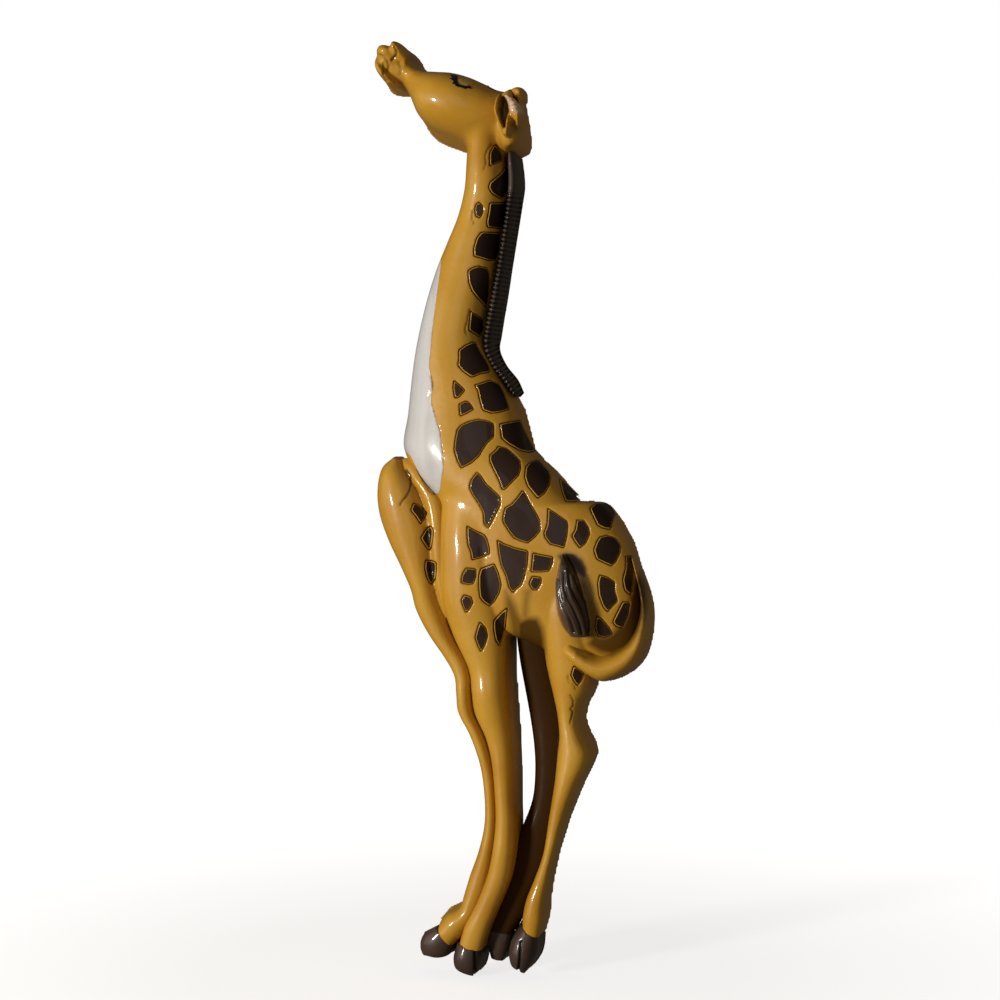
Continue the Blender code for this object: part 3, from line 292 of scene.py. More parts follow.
# Painted areas: corners of each outline
SPOTS_PX = [
    # Neck
    [(494, 146), (490, 153), (490, 166), (497, 163), (503, 160), (502, 155), (499, 149), (496, 145)],
    [(505, 168), (502, 173), (496, 178), (490, 183), (489, 188), (492, 193), (498, 197), (502, 199),
     (506, 195), (509, 188), (509.5, 178), (509, 168)],
    [(490, 203), (489, 212), (487, 222), (488, 227), (495, 228), (503, 229), (506, 220), (508, 208),
     (506, 203)],
    [(479, 202), (475.5, 205), (474.5, 211), (476, 216), (480, 218), (483, 213), (483, 206)],
    [(482, 232), (477, 238), (474, 248), (474, 256), (482, 258), (490, 261), (497, 259), (500, 250),
     (501, 240), (501, 233)],
    [(468, 271), (472, 268), (479, 266), (487, 268), (490, 273), (490, 285), (489, 297), (487, 308),
     (483, 303), (477, 297), (472, 290), (469, 282)],
    [(471, 311), (470, 320), (469, 330), (474, 333), (480, 337), (484, 330), (484, 320), (480, 317),
     (475, 314)],
    # Shoulder
    [(473, 342), (466, 345), (459, 350), (459, 358), (458, 365), (463, 371), (472, 377), (482, 373),
     (490, 372), (490, 367), (485, 358), (480, 350), (477, 343)],
    [(454, 380), (453, 388), (455, 398), (459, 397), (465, 390), (461, 386)],
    [(459, 404), (460, 416), (467, 413), (474, 409), (469, 402), (466, 401)],
    [(475, 385), (484, 382), (491, 380), (500, 384), (505, 393), (508, 402), (510, 409), (500, 412),
     (492, 413), (483, 410), (480, 400), (478, 390)],
    [(454, 450), (455, 440), (457, 430), (461, 425), (470, 421), (479, 419), (489, 421), (494, 424),
     (494, 437), (488, 442), (483, 449), (479, 456), (471, 463), (461, 468), (457, 460)],
    [(500, 424), (510, 422), (521, 420), (525, 430), (530, 440), (536, 450), (530, 452), (520, 450),
     (509, 444), (502, 438), (501, 430)],
    # Flank
    [(499, 446), (496, 450), (490, 455), (490, 461), (494, 470), (499, 480), (502, 489), (505, 489),
     (512, 482), (519, 475), (521, 468), (520, 460), (514, 454), (507, 448)],
    [(477, 472), (471, 480), (469, 487), (472, 494), (478, 503), (483, 512), (484, 524), (488, 528),
     (492, 521), (497, 511), (500, 505), (500, 497), (493, 490), (486, 484), (481, 476)],
    [(539, 459), (530, 462), (526, 467), (525, 477), (528, 486), (533, 492), (538, 498), (545, 493),
     (550, 484), (551, 476), (549, 470), (544, 465)],
    [(523, 490), (518, 497), (512, 504), (505, 508), (503, 516), (503, 522), (508, 530), (514, 538),
     (521, 541), (528, 543), (535, 537), (540, 531), (540, 521), (536, 513), (530, 503), (526, 495)],
    [(467, 526), (467, 535), (468, 545), (471, 552), (472, 560), (480, 558), (489, 554), (489, 548),
     (487, 540), (484, 535), (476, 531), (469, 527)],
    [(497, 540), (504, 544), (515, 548), (528, 551), (527, 565), (524, 577), (521, 585), (515, 590),
     (513, 593), (509, 588), (506, 576), (501, 565), (499, 555)],
    [(548, 508), (557, 514), (567, 521), (568, 525), (567, 536), (564, 548), (558, 546), (550, 544),
     (545, 537), (544, 533), (547, 526), (548, 516)],
    [(533, 553), (542, 555), (553, 557), (552, 564), (549, 571), (541, 572), (531, 572), (532, 563)],
    [(532, 576.5), (541, 577.5), (541, 583), (537, 590), (533, 590), (529, 584)],
    # Rump
    [(560, 478), (568, 484), (577, 492), (583, 499), (575, 501), (566, 501), (563, 493), (561, 485)],
    [(577, 520), (584, 520), (589, 528), (590, 534), (586, 543), (580, 548), (575, 541), (572, 536),
     (576, 529)],
    [(590, 508), (596, 503), (605, 502), (612, 505), (616, 513), (613, 521), (611, 529), (604, 528),
     (598, 525), (594, 517)],
    [(600, 537), (608, 535), (616, 538), (621, 545), (620, 553), (616, 562), (612, 566), (603, 562),
     (597, 559), (594, 550), (597, 542)],
    [(600, 575), (608, 577), (615, 582), (615, 592), (618, 601), (613, 606), (608, 612), (603, 606),
     (599, 595), (598, 583)],
    [(626, 556), (632, 556), (634, 566), (634, 580), (631, 595), (625, 590), (623, 580), (626, 568)],
    [(623, 602), (630, 602), (628, 615), (622, 628), (616, 626), (613, 622), (618, 612)],
    [(597, 616), (603, 620), (609, 627), (613, 634), (605, 638), (598, 636), (595, 628)],
    # Near foreleg
    [(466, 568), (462, 575), (461, 583), (468, 584.5), (473, 584), (476, 577), (476, 569)],
    [(464, 595), (461, 600), (463, 607), (466, 613), (470, 608), (473, 603), (471, 597)],
    [(481, 569), (488, 566), (494, 564), (498, 573), (501, 585), (499, 593), (494, 602), (490, 606),
     (484, 602), (480, 597), (479, 587), (479, 576)],
    [(480, 622), (477, 630), (475, 638), (478, 646), (481, 652), (485, 645), (488, 636), (486, 628)],
    [(501, 613), (494, 621), (494, 630), (496, 640), (500, 646), (503, 638), (505, 628), (506, 616),
     (507, 608)],
    # Near hind leg
    [(574, 666), (580, 670), (584, 674), (582, 680), (578, 686), (574, 681), (571, 675)],
]
FORELEG_SPOTS_PX = [
    [(414, 503), (411, 510), (416, 516), (421, 524), (425, 518), (426, 513), (423, 508), (417, 504)],
    [(430, 526), (426, 530), (421, 538), (424, 543), (428, 549), (430, 550), (432, 540), (433, 530)],
    [(426, 560), (425, 568), (427, 577), (430, 583), (432, 584), (435, 578), (436, 568), (436, 563),
     (432, 561)],
]
BIB_PX = [
    (441, 257), (440, 270), (438, 285), (436, 300), (434, 315), (432, 330), (431, 345), (430, 355),
    (429, 366), (431, 378), (432, 387), (431, 402), (434, 413), (437, 423), (440, 432), (441, 442),
    (442, 452), (443, 461), (443, 470), (441, 480), (440, 490), (438, 494), (433, 495), (428, 491),
    (424, 484), (420, 476), (415, 465), (411, 457), (406, 452), (402, 450), (388, 452), (388, 400),
    (404, 320), (420, 262),
]
# The bib on the left side wall: its first and last row, and how far right it may reach
BIB_SIDE_PX = (259, 451)
BIB_SIDE_LIMIT_PX = 460
NEAR_LASHES_PX = [
    [(450, 74.6), (454, 74.8), (457.8, 75.5), (457.6, 79), (457.9, 82.7), (459, 84.5), (463, 85.3),
     (466.5, 85.7), (470, 85.2), (471, 86.8), (472, 89), (470.4, 88.9), (468.2, 87.9), (465.3, 89.4),
     (463.2, 88.2), (460.5, 87.3), (456, 86.8), (454.8, 84.8), (451.6, 83.8), (453.2, 82), (453, 80.2),
     (448.4, 78.8), (452, 77.8)],
]

# Engraved lines: points, depth and half width in millimetres. They reach so many half widths:
LINE_REACH = 3
LINES_PX = [
    ([(492, 144), (488, 149), (485, 156), (486, 163), (484, 170)], 0.35, 0.3),
    ([(472, 211), (472, 218), (474, 224)], 0.35, 0.3),
    ([(470, 309), (468, 318), (465, 330), (467, 334)], 0.35, 0.3),
    ([(427, 371), (431, 377), (432.5, 384), (431.5, 391), (428, 397)], 0.4, 0.3),
    ([(568, 676), (569, 683)], 0.4, 0.3),
    ([(573, 684), (576, 690)], 0.4, 0.3),
    ([(570, 695), (573, 700), (573.5, 706), (570, 709), (573, 711), (572, 717), (570, 723)], 0.45, 0.3),
]
FORELEG_LINES_PX = [
    ([(406, 470), (410, 476), (411, 483), (410, 490), (406, 497), (402, 501), (400, 505)], 0.6, 0.35),
]
HOOF_LINES_PX = [
    ([(475, 952), (475, 976)], 1.0, 0.5),
    ([(521, 942), (520, 955), (518, 974)], 1.0, 0.5),
]
# The line down to which the top of the far fore hoof is brought
HOOF_TOP_PX = ((424, 932), (450, 919))

# Soft-edged areas of paint: the eyelid, the ear's dark inside, a painted highlight on the ear's back, and
# the flat brown patches on the tuft and above it
LID_PX = [(459, 77), (468, 78), (471, 83), (466, 85.5), (459.5, 82.5)]
LID_EDGE_MM = 1.2
EAR_INSIDE_PX = [(500, 93), (504, 99), (507, 108), (507.5, 116), (506, 124), (504, 130), (500, 121),
                 (498, 110), (498, 100)]
EAR_INSIDE_EDGE_MM = 1.0
EAR_DARK_SHARE = 0.65
EAR_HIGHLIGHT_PX = [(503, 94), (509, 94), (515, 98), (521, 103), (525, 108), (524, 114), (518, 114), (511, 112),
               (507, 105)]
EAR_HIGHLIGHT_EDGE_MM = 1.4
TUFT_FLAT_PX = [(553, 596), (559, 603), (564, 616), (570, 630), (564, 633), (556, 628), (551, 615)]
ABOVE_TUFT_PX = [(558, 556), (566, 553), (575, 555), (582, 560), (586, 568), (585, 578), (579, 574),
                 (571, 566), (563, 562)]
PATCH_EDGE_MM = 0.9

# Shadowed skin, painted dark, with its share of dark paint: the foreleg's back flank up to the arch, a
# fold of the belly, the arch itself, the hollow between rump and tail, and the skin beside and above
# the tuft
SHADES_PX = [
    ([(505, 590), (511, 597), (516, 606), (520, 616), (526, 624), (532, 631), (539, 636), (543, 652),
      (530, 652), (516, 650), (512, 636), (509, 620), (505, 606)], 0.7),
    ([(524, 591), (531, 589), (529, 602), (528.5, 622), (521, 617), (523, 604)], 0.55),
    ([(517, 622), (528, 617), (538, 618), (543, 628), (545, 640), (545, 654), (530, 656), (516, 652)], 0.9),
    ([(640, 572), (647, 586), (647.5, 604), (645, 618), (639, 633), (629, 646), (613, 655), (600, 653),
      (587, 645), (592, 633), (603, 637), (613, 632), (622, 622), (628, 610), (631, 596), (634, 582)], 0.85),
    ([(581, 572), (590, 586), (596, 602), (600, 615), (599, 630), (593, 643), (586, 638), (588, 620),
      (584, 602), (579, 588)], 0.7),
    (ABOVE_TUFT_PX, 0.75),
]
SHADE_EDGE_MM = 3.5
# Share of painted shade over all of the far hind leg
FAR_HIND_SHADE = 0.98

# Where the smooth skin is evened further, so that one form runs into the next
EVEN_PX = [
    [(420, 112), (432, 108), (452, 120), (466, 128), (480, 122), (500, 126), (506, 146), (500, 168),
     (480, 174), (460, 166), (440, 152), (424, 136)],
    [(424, 906), (440, 906), (445, 922), (434, 931), (422, 924)],
    [(440, 468), (462, 458), (484, 478), (482, 524), (464, 544), (446, 524)],
]
EVEN_EDGE_MM = 4
EVEN_ROUNDS = 60
EVEN_AGAIN_ROUNDS = 12

# Folds of the lips and of the eyelid: like engraved lines, but only lightly washed
FOLDS_PX = [
    ([(394.5, 47), (396.5, 52), (395, 57), (392, 60)], 0.9, 0.5),
    ([(380, 55), (384, 57), (387, 61), (389, 66), (387, 71)], 0.7, 0.45),
    ([(383, 63), (384, 70), (383, 76), (386, 81)], 0.7, 0.45),
    ([(399, 62), (401, 68), (400, 75)], 0.4, 0.5),
    ([(456, 79), (460, 84), (466, 86), (473, 86)], 0.2, 0.35),
]

# The mane: its inner edge, and the ticks cut across its front
MANE_INNER_PX = [(514, 160), (514, 175), (512.5, 200), (509.5, 220), (506, 240), (502, 260), (498, 285),
                 (494, 308), (491, 326), (489, 342), (491, 350), (494, 356), (498, 364), (502, 371),
                 (507, 378), (512, 385), (517, 391)]
TICK_SPACING_MM = 2.05
TICK_DEPTH_MM = 0.8
TICK_SHARE = 0.24
TICKS_FROM_PX = 188
TICKS_FADE_PX = 12
TICK_REACH_MM = 5.6
TICK_FADE_MM = 1.5
TICK_FACING = 0.25
TICK_FACING_FADE = 0.2

# The tuft: raised strands and the furrows between them
STRANDS_PX = [
    [(557, 580), (557.5, 594), (560.5, 606), (566, 619), (571, 631)],
    [(562, 565), (560.6, 576), (562, 590), (564.4, 602.5), (568.8, 612.5), (573.8, 622.5), (578, 634)],
    [(565.6, 570), (567, 585), (571, 597.5), (577.5, 610), (582.5, 622.5), (585, 635)],
    [(570.6, 575), (575, 589), (581, 601), (585, 615), (588, 628)],
]
FURROWS_PX = [
    [(559, 582), (560, 597.5), (565, 610), (571, 622.5), (574, 632.5)],
    [(564, 572.5), (564.5, 589), (568, 600), (575, 612.5), (580, 625), (582, 634)],
    [(568.8, 574), (571.5, 589), (576, 599), (583, 612.5), (586, 627.5)],
    [(573, 576), (578.8, 591), (585, 602.5), (588.5, 616), (589, 634)],
]
STRAND_RISE_MM = 0.5
STRAND_HALF_WIDTH_MM = 0.65
FURROW_DEPTH_MM = 0.6
FURROW_HALF_WIDTH_MM = 0.45

# Creases darkened with painted shade: how hollow the surface must be, in millimetres, for it to begin and to
# be full
CREASE_ROUNDS = 7
CREASE_MM = (0.15, 0.5)
CREASE_SHADE = 0.35

# Colours
MUSTARD = (0.56, 0.30, 0.028)
DEEP_MUSTARD = (0.47, 0.225, 0.014)
LID_MUSTARD = (0.58, 0.36, 0.09)
# Pale pink of the painted highlight on the ear's back
HIGHLIGHT_PINK = (0.72, 0.56, 0.46)
SPOT_BROWN = (0.032, 0.016, 0.010)
DEEP_SPOT = (0.020, 0.010, 0.007)
FLAT_BROWN = (0.10, 0.052, 0.028)
# Brown of the dark wash in lines, also used for painted shade
WASH_AND_SHADE_BROWN = (0.028, 0.010, 0.003)
WHITE = (0.63, 0.62, 0.615)
DULL_WHITE = (0.52, 0.51, 0.505)
MANE_BROWN = (0.085, 0.058, 0.043)
DEEP_MANE = (0.055, 0.038, 0.028)
HOOF_BROWN = (0.075, 0.046, 0.034)
DEEP_HOOF = (0.045, 0.027, 0.02)
TUFT_BROWN = (0.075, 0.043, 0.025)
DEEP_TUFT = (0.026, 0.014, 0.008)
BLACK = (0.006, 0.005, 0.005)

# Clear coat and shine: on bright enamel, where painted shade darkens it, and on mane and spots
COAT = 0.45
SHADED_COAT = 0.05
DARK_COAT = 0.25
COAT_ROUGHNESS = 0.09
SHINE = 0.3
SHADED_SHINE = 0.04
SPOT_SHINE = 0.15

# Noise in the paint: scale, detail, and the values at which its share starts and is full
COLOUR_NOISE = (28, 3, 0.4, 0.7)
SPOT_NOISE = (40, 3, 0.4, 0.7)
HIGHLIGHT_NOISE = (900, 4, 0.35, 0.6)
GLOSS_NOISE = (160, 4, 0.3, 0.7)
BRUSH_NOISE = (420, 3, 0.2, 0.8)
# Noise as it is and stretched upwards, how far it varies the roughness, and the brush marks
EVENLY = (1, 1, 1)
BRUSHED = (4, 4, 0.4)
SMOOTHER = 0.06
ROUGHER = 0.1
BRUSH_STRENGTH = 0.12
BRUSH_DEPTH = 0.0004

# Enamels by slot: colour, deeper colour, wash (also the colour of painted shade), roughness, coat, and how
# the deeper colour is stretched
ENAMELS = {
    "mustard_enamel": (MUSTARD, DEEP_MUSTARD, WASH_AND_SHADE_BROWN, 0.42, COAT, EVENLY),
    "bib_white": (WHITE, DULL_WHITE, WASH_AND_SHADE_BROWN, 0.3, COAT, BRUSHED),
    "mane_brown": (MANE_BROWN, DEEP_MANE, BLACK, 0.5, DARK_COAT, EVENLY),
    "hoof_brown": (HOOF_BROWN, DEEP_HOOF, BLACK, 0.4, COAT, EVENLY),
    "tuft_brown": (TUFT_BROWN, DEEP_TUFT, BLACK, 0.35, COAT, EVENLY),
    "lash_black": (BLACK, BLACK, BLACK, 0.25, COAT, EVENLY),
}
# The spots' enamel: its roughness, and how far inside the outline wash gives way to mustard and
# mustard to brown, in millimetres
SPOT_ROUGHNESS = 0.5
SPOT_FOOT_MM = (0.12, 0.25)
SPOT_SLOPE_MM = (0.42, 0.52)

# The studio. Lamps: place, size in metres, power in watts and colour
LAMPS = {
    "key": ((-0.95, -1.25, -0.05), 0.25, 20, (1, 0.95, 0.88)),
    "side": ((-1.2, -0.35, 0.0), 0.9, 1.5, (1, 1, 1)),
    "fill": ((0.3, -1.6, 0.2), 1, 1.8, (1, 1, 1)),
}
AMBIENT = 0.15
MIRRORED_AMBIENT = 0.05
AMBIENT_COLOUR = (1, 0.86, 0.68)
FLOOR_SIDES = 96
FLOOR_RADIUS = 1.1
FLOOR_PALE = (0.55, 0.55, 0.55)
FLOOR_ROUGHNESS = 0.9
FLOOR_GLOW = 0.75
FLOOR_FADE = (0.12, 0.5)


def on_wall(pixel, depth):
    """Place that a pixel shows, on the plane at this depth in front of the wall, before centring."""
    eye = TO_EYE * VIEW_DISTANCE
    side = (pixel[0] - VIEW_CENTRE_PX[0]) * SCALE
    rise = (VIEW_CENTRE_PX[1] - pixel[1]) * SCALE
    ray = ACROSS * side + Vector((0, 0, rise)) - eye
    return eye + ray * ((-depth - eye.y) / ray.y)


KEYHOLE = on_wall(KEYHOLE_PX, 0)
EYE = TO_EYE * VIEW_DISTANCE - KEYHOLE


def from_photo(pixel, depth):
    """Place that a pixel shows, measured from the keyhole."""
    return on_wall(pixel, depth) - KEYHOLE


def pixels_of(places):
    """Pixels at which places are seen."""
    offset = places - np.array(EYE)
    ahead = -(offset @ np.array(TO_EYE))
    side = offset @ np.array(ACROSS) / ahead * VIEW_DISTANCE / SCALE
    rise = offset[:, 2] / ahead * VIEW_DISTANCE / SCALE
    return np.stack((VIEW_CENTRE_PX[0] + side, VIEW_CENTRE_PX[1] - rise), axis=1)


def smooth_rail(values, steps):
    """Catmull-Rom curve through values, which may be vectors or numbers."""
    out = []
    last = len(values) - 1
    for i in range(last):
        before, start = values[max(i - 1, 0)], values[i]
        end, after = values[i + 1], values[min(i + 2, last)]
        for k in range(steps):
            t = k / steps
            slope = (end - before) * t
            bend = (before * 2 - start * 5 + end * 4 - after) * t**2
            twist = (start * 3 - before - end * 3 + after) * t**3
            out.append((start * 2 + slope + bend + twist) * 0.5)
    out.append(values[last])
    return out


def section(left, right, crest, side_shares):
    """One D-shaped section: left side wall, dome, right side wall. It starts behind the wall."""
    across = right - left
    half = across.length / 2
    across = across / (half * 2)
    middle = left + across * half
    ring = []
    for side, share in ((-1, side_shares[0]), (1, side_shares[1])):
        edge = min(share * RELIEF_DEPTH, crest * LOWEST_CREST_SHARE)
        reach = half - min(edge * DRAFT_SHARE, half * MOST_DRAFT_SHARE)
        points = [middle + across * side * half + Vector((0, BEHIND_WALL, 0))]
        for k in range(ARC_STEPS + (side < 0)):
            angle = math.pi / 2 * k / ARC_STEPS
            out = abs(math.cos(angle)) ** (2 / DOME_POWER) if k < ARC_STEPS else 0
            rise = math.sin(angle) ** (2 / DOME_POWER)
            depth = edge + (crest - edge) * rise
            points.append(middle + across * side * reach * out + Vector((0, -depth, 0)))
        ring += points if side < 0 else points[::-1]
    return ring


def rail_point(pixel, share):
    """Point of a rail on the wall plane, from its pixel read at a share of the relief depth."""
    place = from_photo(pixel, share * RELIEF_DEPTH)
    return Vector((place.x, 0, place.z))


def limb(bm, name):
    """Adds one limb, closed all round, to bm."""
    side_shares, stations = LIMBS[name]
    left_share, right_share = RAISED_SHARES.get(name, (side_shares[0], 0))
    lefts = [rail_point(station[:2], left_share) for station in stations]
    rights = [rail_point(station[2:4], right_share) for station in stations]
    crests = [station[4] * RELIEF_DEPTH for station in stations]
    rows = zip(*(smooth_rail(values, SPAN_STEPS) for values in (lefts, rights, crests)))
    rings = [[bm.verts.new(place) for place in section(*row, side_shares)] for row in rows]
    faces = [bm.faces.new(rings[0][::-1]), bm.faces.new(rings[-1])]
    for lower, upper in zip(rings, rings[1:]):
        for i in range(len(lower)):
            j = (i + 1) % len(lower)
            faces.append(bm.faces.new((lower[i], lower[j], upper[j], upper[i])))
    bmesh.ops.recalc_face_normals(bm, faces=faces)


def place_object(name, data):
    """A new object of the scene."""
    obj = bpy.data.objects.new(name, data)
    bpy.context.scene.collection.objects.link(obj)
    return obj


def melted(bm, grain):
    """One closed skin round everything in bm, which is used up."""
    mesh = bpy.data.meshes.new("melt")
    bm.to_mesh(mesh)
    bm.free()
    obj = place_object("melt", mesh)
    modifier = obj.modifiers.new("melt", "REMESH")
    modifier.mode = "VOXEL"
    modifier.voxel_size = grain
    skin = bpy.data.meshes.new_from_object(obj.evaluated_get(bpy.context.evaluated_depsgraph_get()))
    bpy.data.objects.remove(obj)
    bpy.data.meshes.remove(mesh)
    return skin


def corners_of(mesh, what="co"):
    """The places of a mesh's corners, or their normals."""
    values = np.empty(len(mesh.vertices) * 3)
    mesh.vertices.foreach_get(what, values)
    return values.reshape(-1, 3)


def tree_of(mesh):
    """A mesh ready for looking up places on it."""
    bm = bmesh.new()
    bm.from_mesh(mesh)
    tree = BVHTree.FromBMesh(bm)
    bm.free()
    return tree


def move_to(mesh, places):
    """Moves a mesh's corners."""
    mesh.vertices.foreach_set("co", places.ravel())
    mesh.update()


def evened(mesh, places, weight, shares):
    """Places moved towards their neighbours' middle by each of the shares in turn."""
    edges = np.empty(len(mesh.edges) * 2, int)
    mesh.edges.foreach_get("vertices", edges)
    first, second = edges.reshape(-1, 2).T
    count = np.bincount(edges, minlength=len(places))[:, None]
    for share in shares:
        total = np.empty_like(places)
        for axis in range(3):
            total[:, axis] = np.bincount(first, places[second, axis], len(places))
            total[:, axis] += np.bincount(second, places[first, axis], len(places))
        places = places + (total / count - places) * share * weight[:, None]
    return places


def crease_shade(mesh):
    """Share of painted shade at each corner: much where the surface is hollow, none where it is round."""
    places = corners_of(mesh)
    level = evened(mesh, places, np.ones(len(places)), (EVEN_SHARE,) * CREASE_ROUNDS)
    hollow = np.einsum("ij,ij->i", level - places, corners_of(mesh, "normal")) / MM
    return np.clip((hollow - CREASE_MM[0]) / (CREASE_MM[1] - CREASE_MM[0]), 0, 1) * CREASE_SHADE


def model_skin(limbs, grain):
    """Smooth surface of several limbs melted together, ready for looking up places on it."""
    bm = bmesh.new()
    for name in limbs:
        limb(bm, name)
    mesh = melted(bm, grain)
    places = corners_of(mesh)
    places = evened(mesh, places, np.ones(len(places)), KEEP_FORM * MODEL_ROUNDS)
    weight = areas(pixels_of(places), EVEN_PX, EVEN_EDGE_MM)
    move_to(mesh, evened(mesh, places, weight, (EVEN_SHARE,) * EVEN_ROUNDS))
    tree = tree_of(mesh)
    bpy.data.meshes.remove(mesh)
    return tree


def cad_skin(nodes, extra, grain):
    """One closed skin round CAD nodes, a little swollen so that seams between them close, and extra limbs."""
    bm = bmesh.new()
    for name in nodes:
        bm.from_mesh(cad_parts[name].data)
    bmesh.ops.remove_doubles(bm, verts=bm.verts, dist=WELD_REACH)
    bm.normal_update()
    for vertex in bm.verts:
        vertex.co += vertex.normal * SWELL
    for name in extra:
        limb(bm, name)
    return melted(bm, grain)


def drawn_skin(nodes, limbs, extra, grain):
    """The CAD nodes' skin, with its outer surface drawn onto the smooth limbs. Returns it and what moved."""
    mesh = cad_skin(nodes, extra, grain)
    tree = model_skin(limbs + extra, grain)
    places = corners_of(mesh)
    normals = corners_of(mesh, "normal")
    front = np.zeros(len(places), bool)
    for i, (place, normal) in enumerate(zip(places, normals)):
        near, facing, _, _ = tree.find_nearest(place, DRAW_REACH)
        if near is not None and facing.dot(Vector(normal)) > SAME_SIDE and place[1] < -SWELL:
            front[i] = True
            places[i] = near if place[1] < -RIM_DEPTH else (near.x, place[1], near.z)
    weight = np.where(places[:, 1] > -RIM_DEPTH, 0, np.where(front, DRAWN_WEIGHT, 1))
    places = evened(mesh, places, weight, KEEP_FORM * DRAWN_ROUNDS)
    weight = weight * areas(pixels_of(places), EVEN_PX, EVEN_EDGE_MM)
    places = evened(mesh, places, weight, (EVEN_SHARE,) * EVEN_AGAIN_ROUNDS)
    places[:, 1] = np.where(places[:, 1] > -SWELL, 0, places[:, 1])
    move_to(mesh, places)
    return mesh, front


def rounded(points, closed=True):
    """Outline with its corners cut off, several times over."""
    line = np.array(points, float)
    for _ in range(CORNER_ROUNDS):
        after = np.roll(line, -1, axis=0)
        pairs = np.stack((line + (after - line) * CORNER_SHARE, after + (line - after) * CORNER_SHARE), 1)
        if closed:
            line = pairs.reshape(-1, 2)
        else:
            line = np.concatenate((line[:1], pairs[:-1].reshape(-1, 2), line[-1:]))
    return line


def line_distance(pixels, line, closed):
    """Distance in millimetres from each pixel to a line."""
    starts = line if closed else line[:-1]
    ends = np.roll(line, -1, axis=0) if closed else line[1:]
    best = np.full(len(pixels), FAR_MM)
    for start, end in zip(starts, ends):
        along = end - start
        share = np.clip((pixels - start) @ along / (along @ along), 0, 1)
        gap = np.linalg.norm(pixels - start - share[:, None] * along, axis=1) * PX_MM
        best = np.minimum(best, gap)
    return best


def outline_distance(pixels, line):
    """Millimetres outside a closed outline, negative inside it."""
    inside = np.zeros(len(pixels), bool)
    for start, end in zip(line, np.roll(line, -1, axis=0)):
        spans = (start[1] > pixels[:, 1]) != (end[1] > pixels[:, 1])
        rise = end[1] - start[1]
        crossing = start[0] + (pixels[:, 1] - start[1]) / (rise if rise else 1) * (end[0] - start[0])
        inside ^= spans & (pixels[:, 0] < crossing)
    return line_distance(pixels, line, True) * np.where(inside, -1, 1)


def near_line(pixels, line, reach):
    """Which pixels lie in the line's box, grown by reach millimetres."""
    low, high = line.min(axis=0) - reach / PX_MM, line.max(axis=0) + reach / PX_MM
    return np.all((pixels > low) & (pixels < high), axis=1)


def seen(mesh, places, normals):
    """Which corners of a skin the photograph's camera sees."""
    tree = tree_of(mesh)
    to_eye = np.array(EYE) - places
    facing = np.einsum("ij,ij->i", to_eye, normals) > 0
    for i in np.flatnonzero(facing):
        ray = Vector(to_eye[i]).normalized()
        if tree.ray_cast(Vector(places[i]) + ray * RAY_START, ray)[0] is not None:
            facing[i] = False
    return facing


def outlines_field(pixels, shown, outlines):
    """Millimetres outside the nearest of several outlines, and that outline's number."""
    field = np.full(len(pixels), FAR_MM)
    owner = np.full(len(pixels), -1)
    for number, outline in enumerate(outlines):
        line = rounded(outline)
        near = shown & near_line(pixels, line, BAND_MM)
        gap = outline_distance(pixels[near], line)
        closer = gap < field[near]
        places = np.flatnonzero(near)[closer]
        field[places] = gap[closer]
        owner[places] = number
    return field, owner


def areas(pixels, outlines, edge_mm):
    """Share from 0 outside several outlines to 1 inside them. It is half at an outline itself."""
    share = np.zeros(len(pixels))
    for outline in outlines:
        line = rounded(outline)
        near = near_line(pixels, line, edge_mm)
        inside = np.clip(0.5 - outline_distance(pixels[near], line) / edge_mm, 0, 1)
        share[near] = np.maximum(share[near], inside)
    return share


def lines_drop(pixels, shown, lines):
    """How far engraved lines lower each corner, in millimetres."""
    drop = np.zeros(len(pixels))
    for points, depth, half_width in lines:
        line = rounded(points, closed=False)
        near = shown & near_line(pixels, line, half_width * LINE_REACH)
        gap = line_distance(pixels[near], line, False)
        drop[near] = np.maximum(drop[near], depth * np.exp(-((gap / half_width) ** 2)))
    return drop


def mane_ticks(places, normals, pixels):
    """Drop of the ticks across the mane's front, next to its inner edge, at even steps along it."""
    inner = rounded(MANE_INNER_PX, closed=False)
    steps = np.linalg.norm(np.diff(inner, axis=0), axis=1)
    travelled = np.concatenate(([0], np.cumsum(steps)))
    nearest = np.argmin(np.linalg.norm(pixels[:, None] - inner[None], axis=2), axis=1)
    ahead = inner[np.minimum(nearest + 1, len(inner) - 1)] - inner[np.maximum(nearest - 1, 0)]
    ahead = ahead / np.linalg.norm(ahead, axis=1)[:, None]
    way = travelled[nearest] + np.einsum("ij,ij->i", pixels - inner[nearest], ahead)
    phase = way * PX_MM / TICK_SPACING_MM % 1 - 0.5
    reach = np.clip((TICK_REACH_MM - line_distance(pixels, inner, False)) / TICK_FADE_MM, 0, 1)
    facing = np.clip((TICK_FACING - normals[:, 1]) / TICK_FACING_FADE, 0, 1)
    low_enough = np.clip((pixels[:, 1] - TICKS_FROM_PX) / TICKS_FADE_PX, 0, 1)
    return TICK_DEPTH_MM * np.exp(-((phase / TICK_SHARE) ** 2)) * reach * facing * low_enough


def tuft_strands(places, normals, pixels):
    """Drop of the furrows between the tuft's strands, less the rise of the strands."""
    shown = normals[:, 1] < 0
    furrows = [(line, FURROW_DEPTH_MM, FURROW_HALF_WIDTH_MM) for line in FURROWS_PX]
    strands = [(line, STRAND_RISE_MM, STRAND_HALF_WIDTH_MM) for line in STRANDS_PX]
    return lines_drop(pixels, shown, furrows) - lines_drop(pixels, shown, strands)


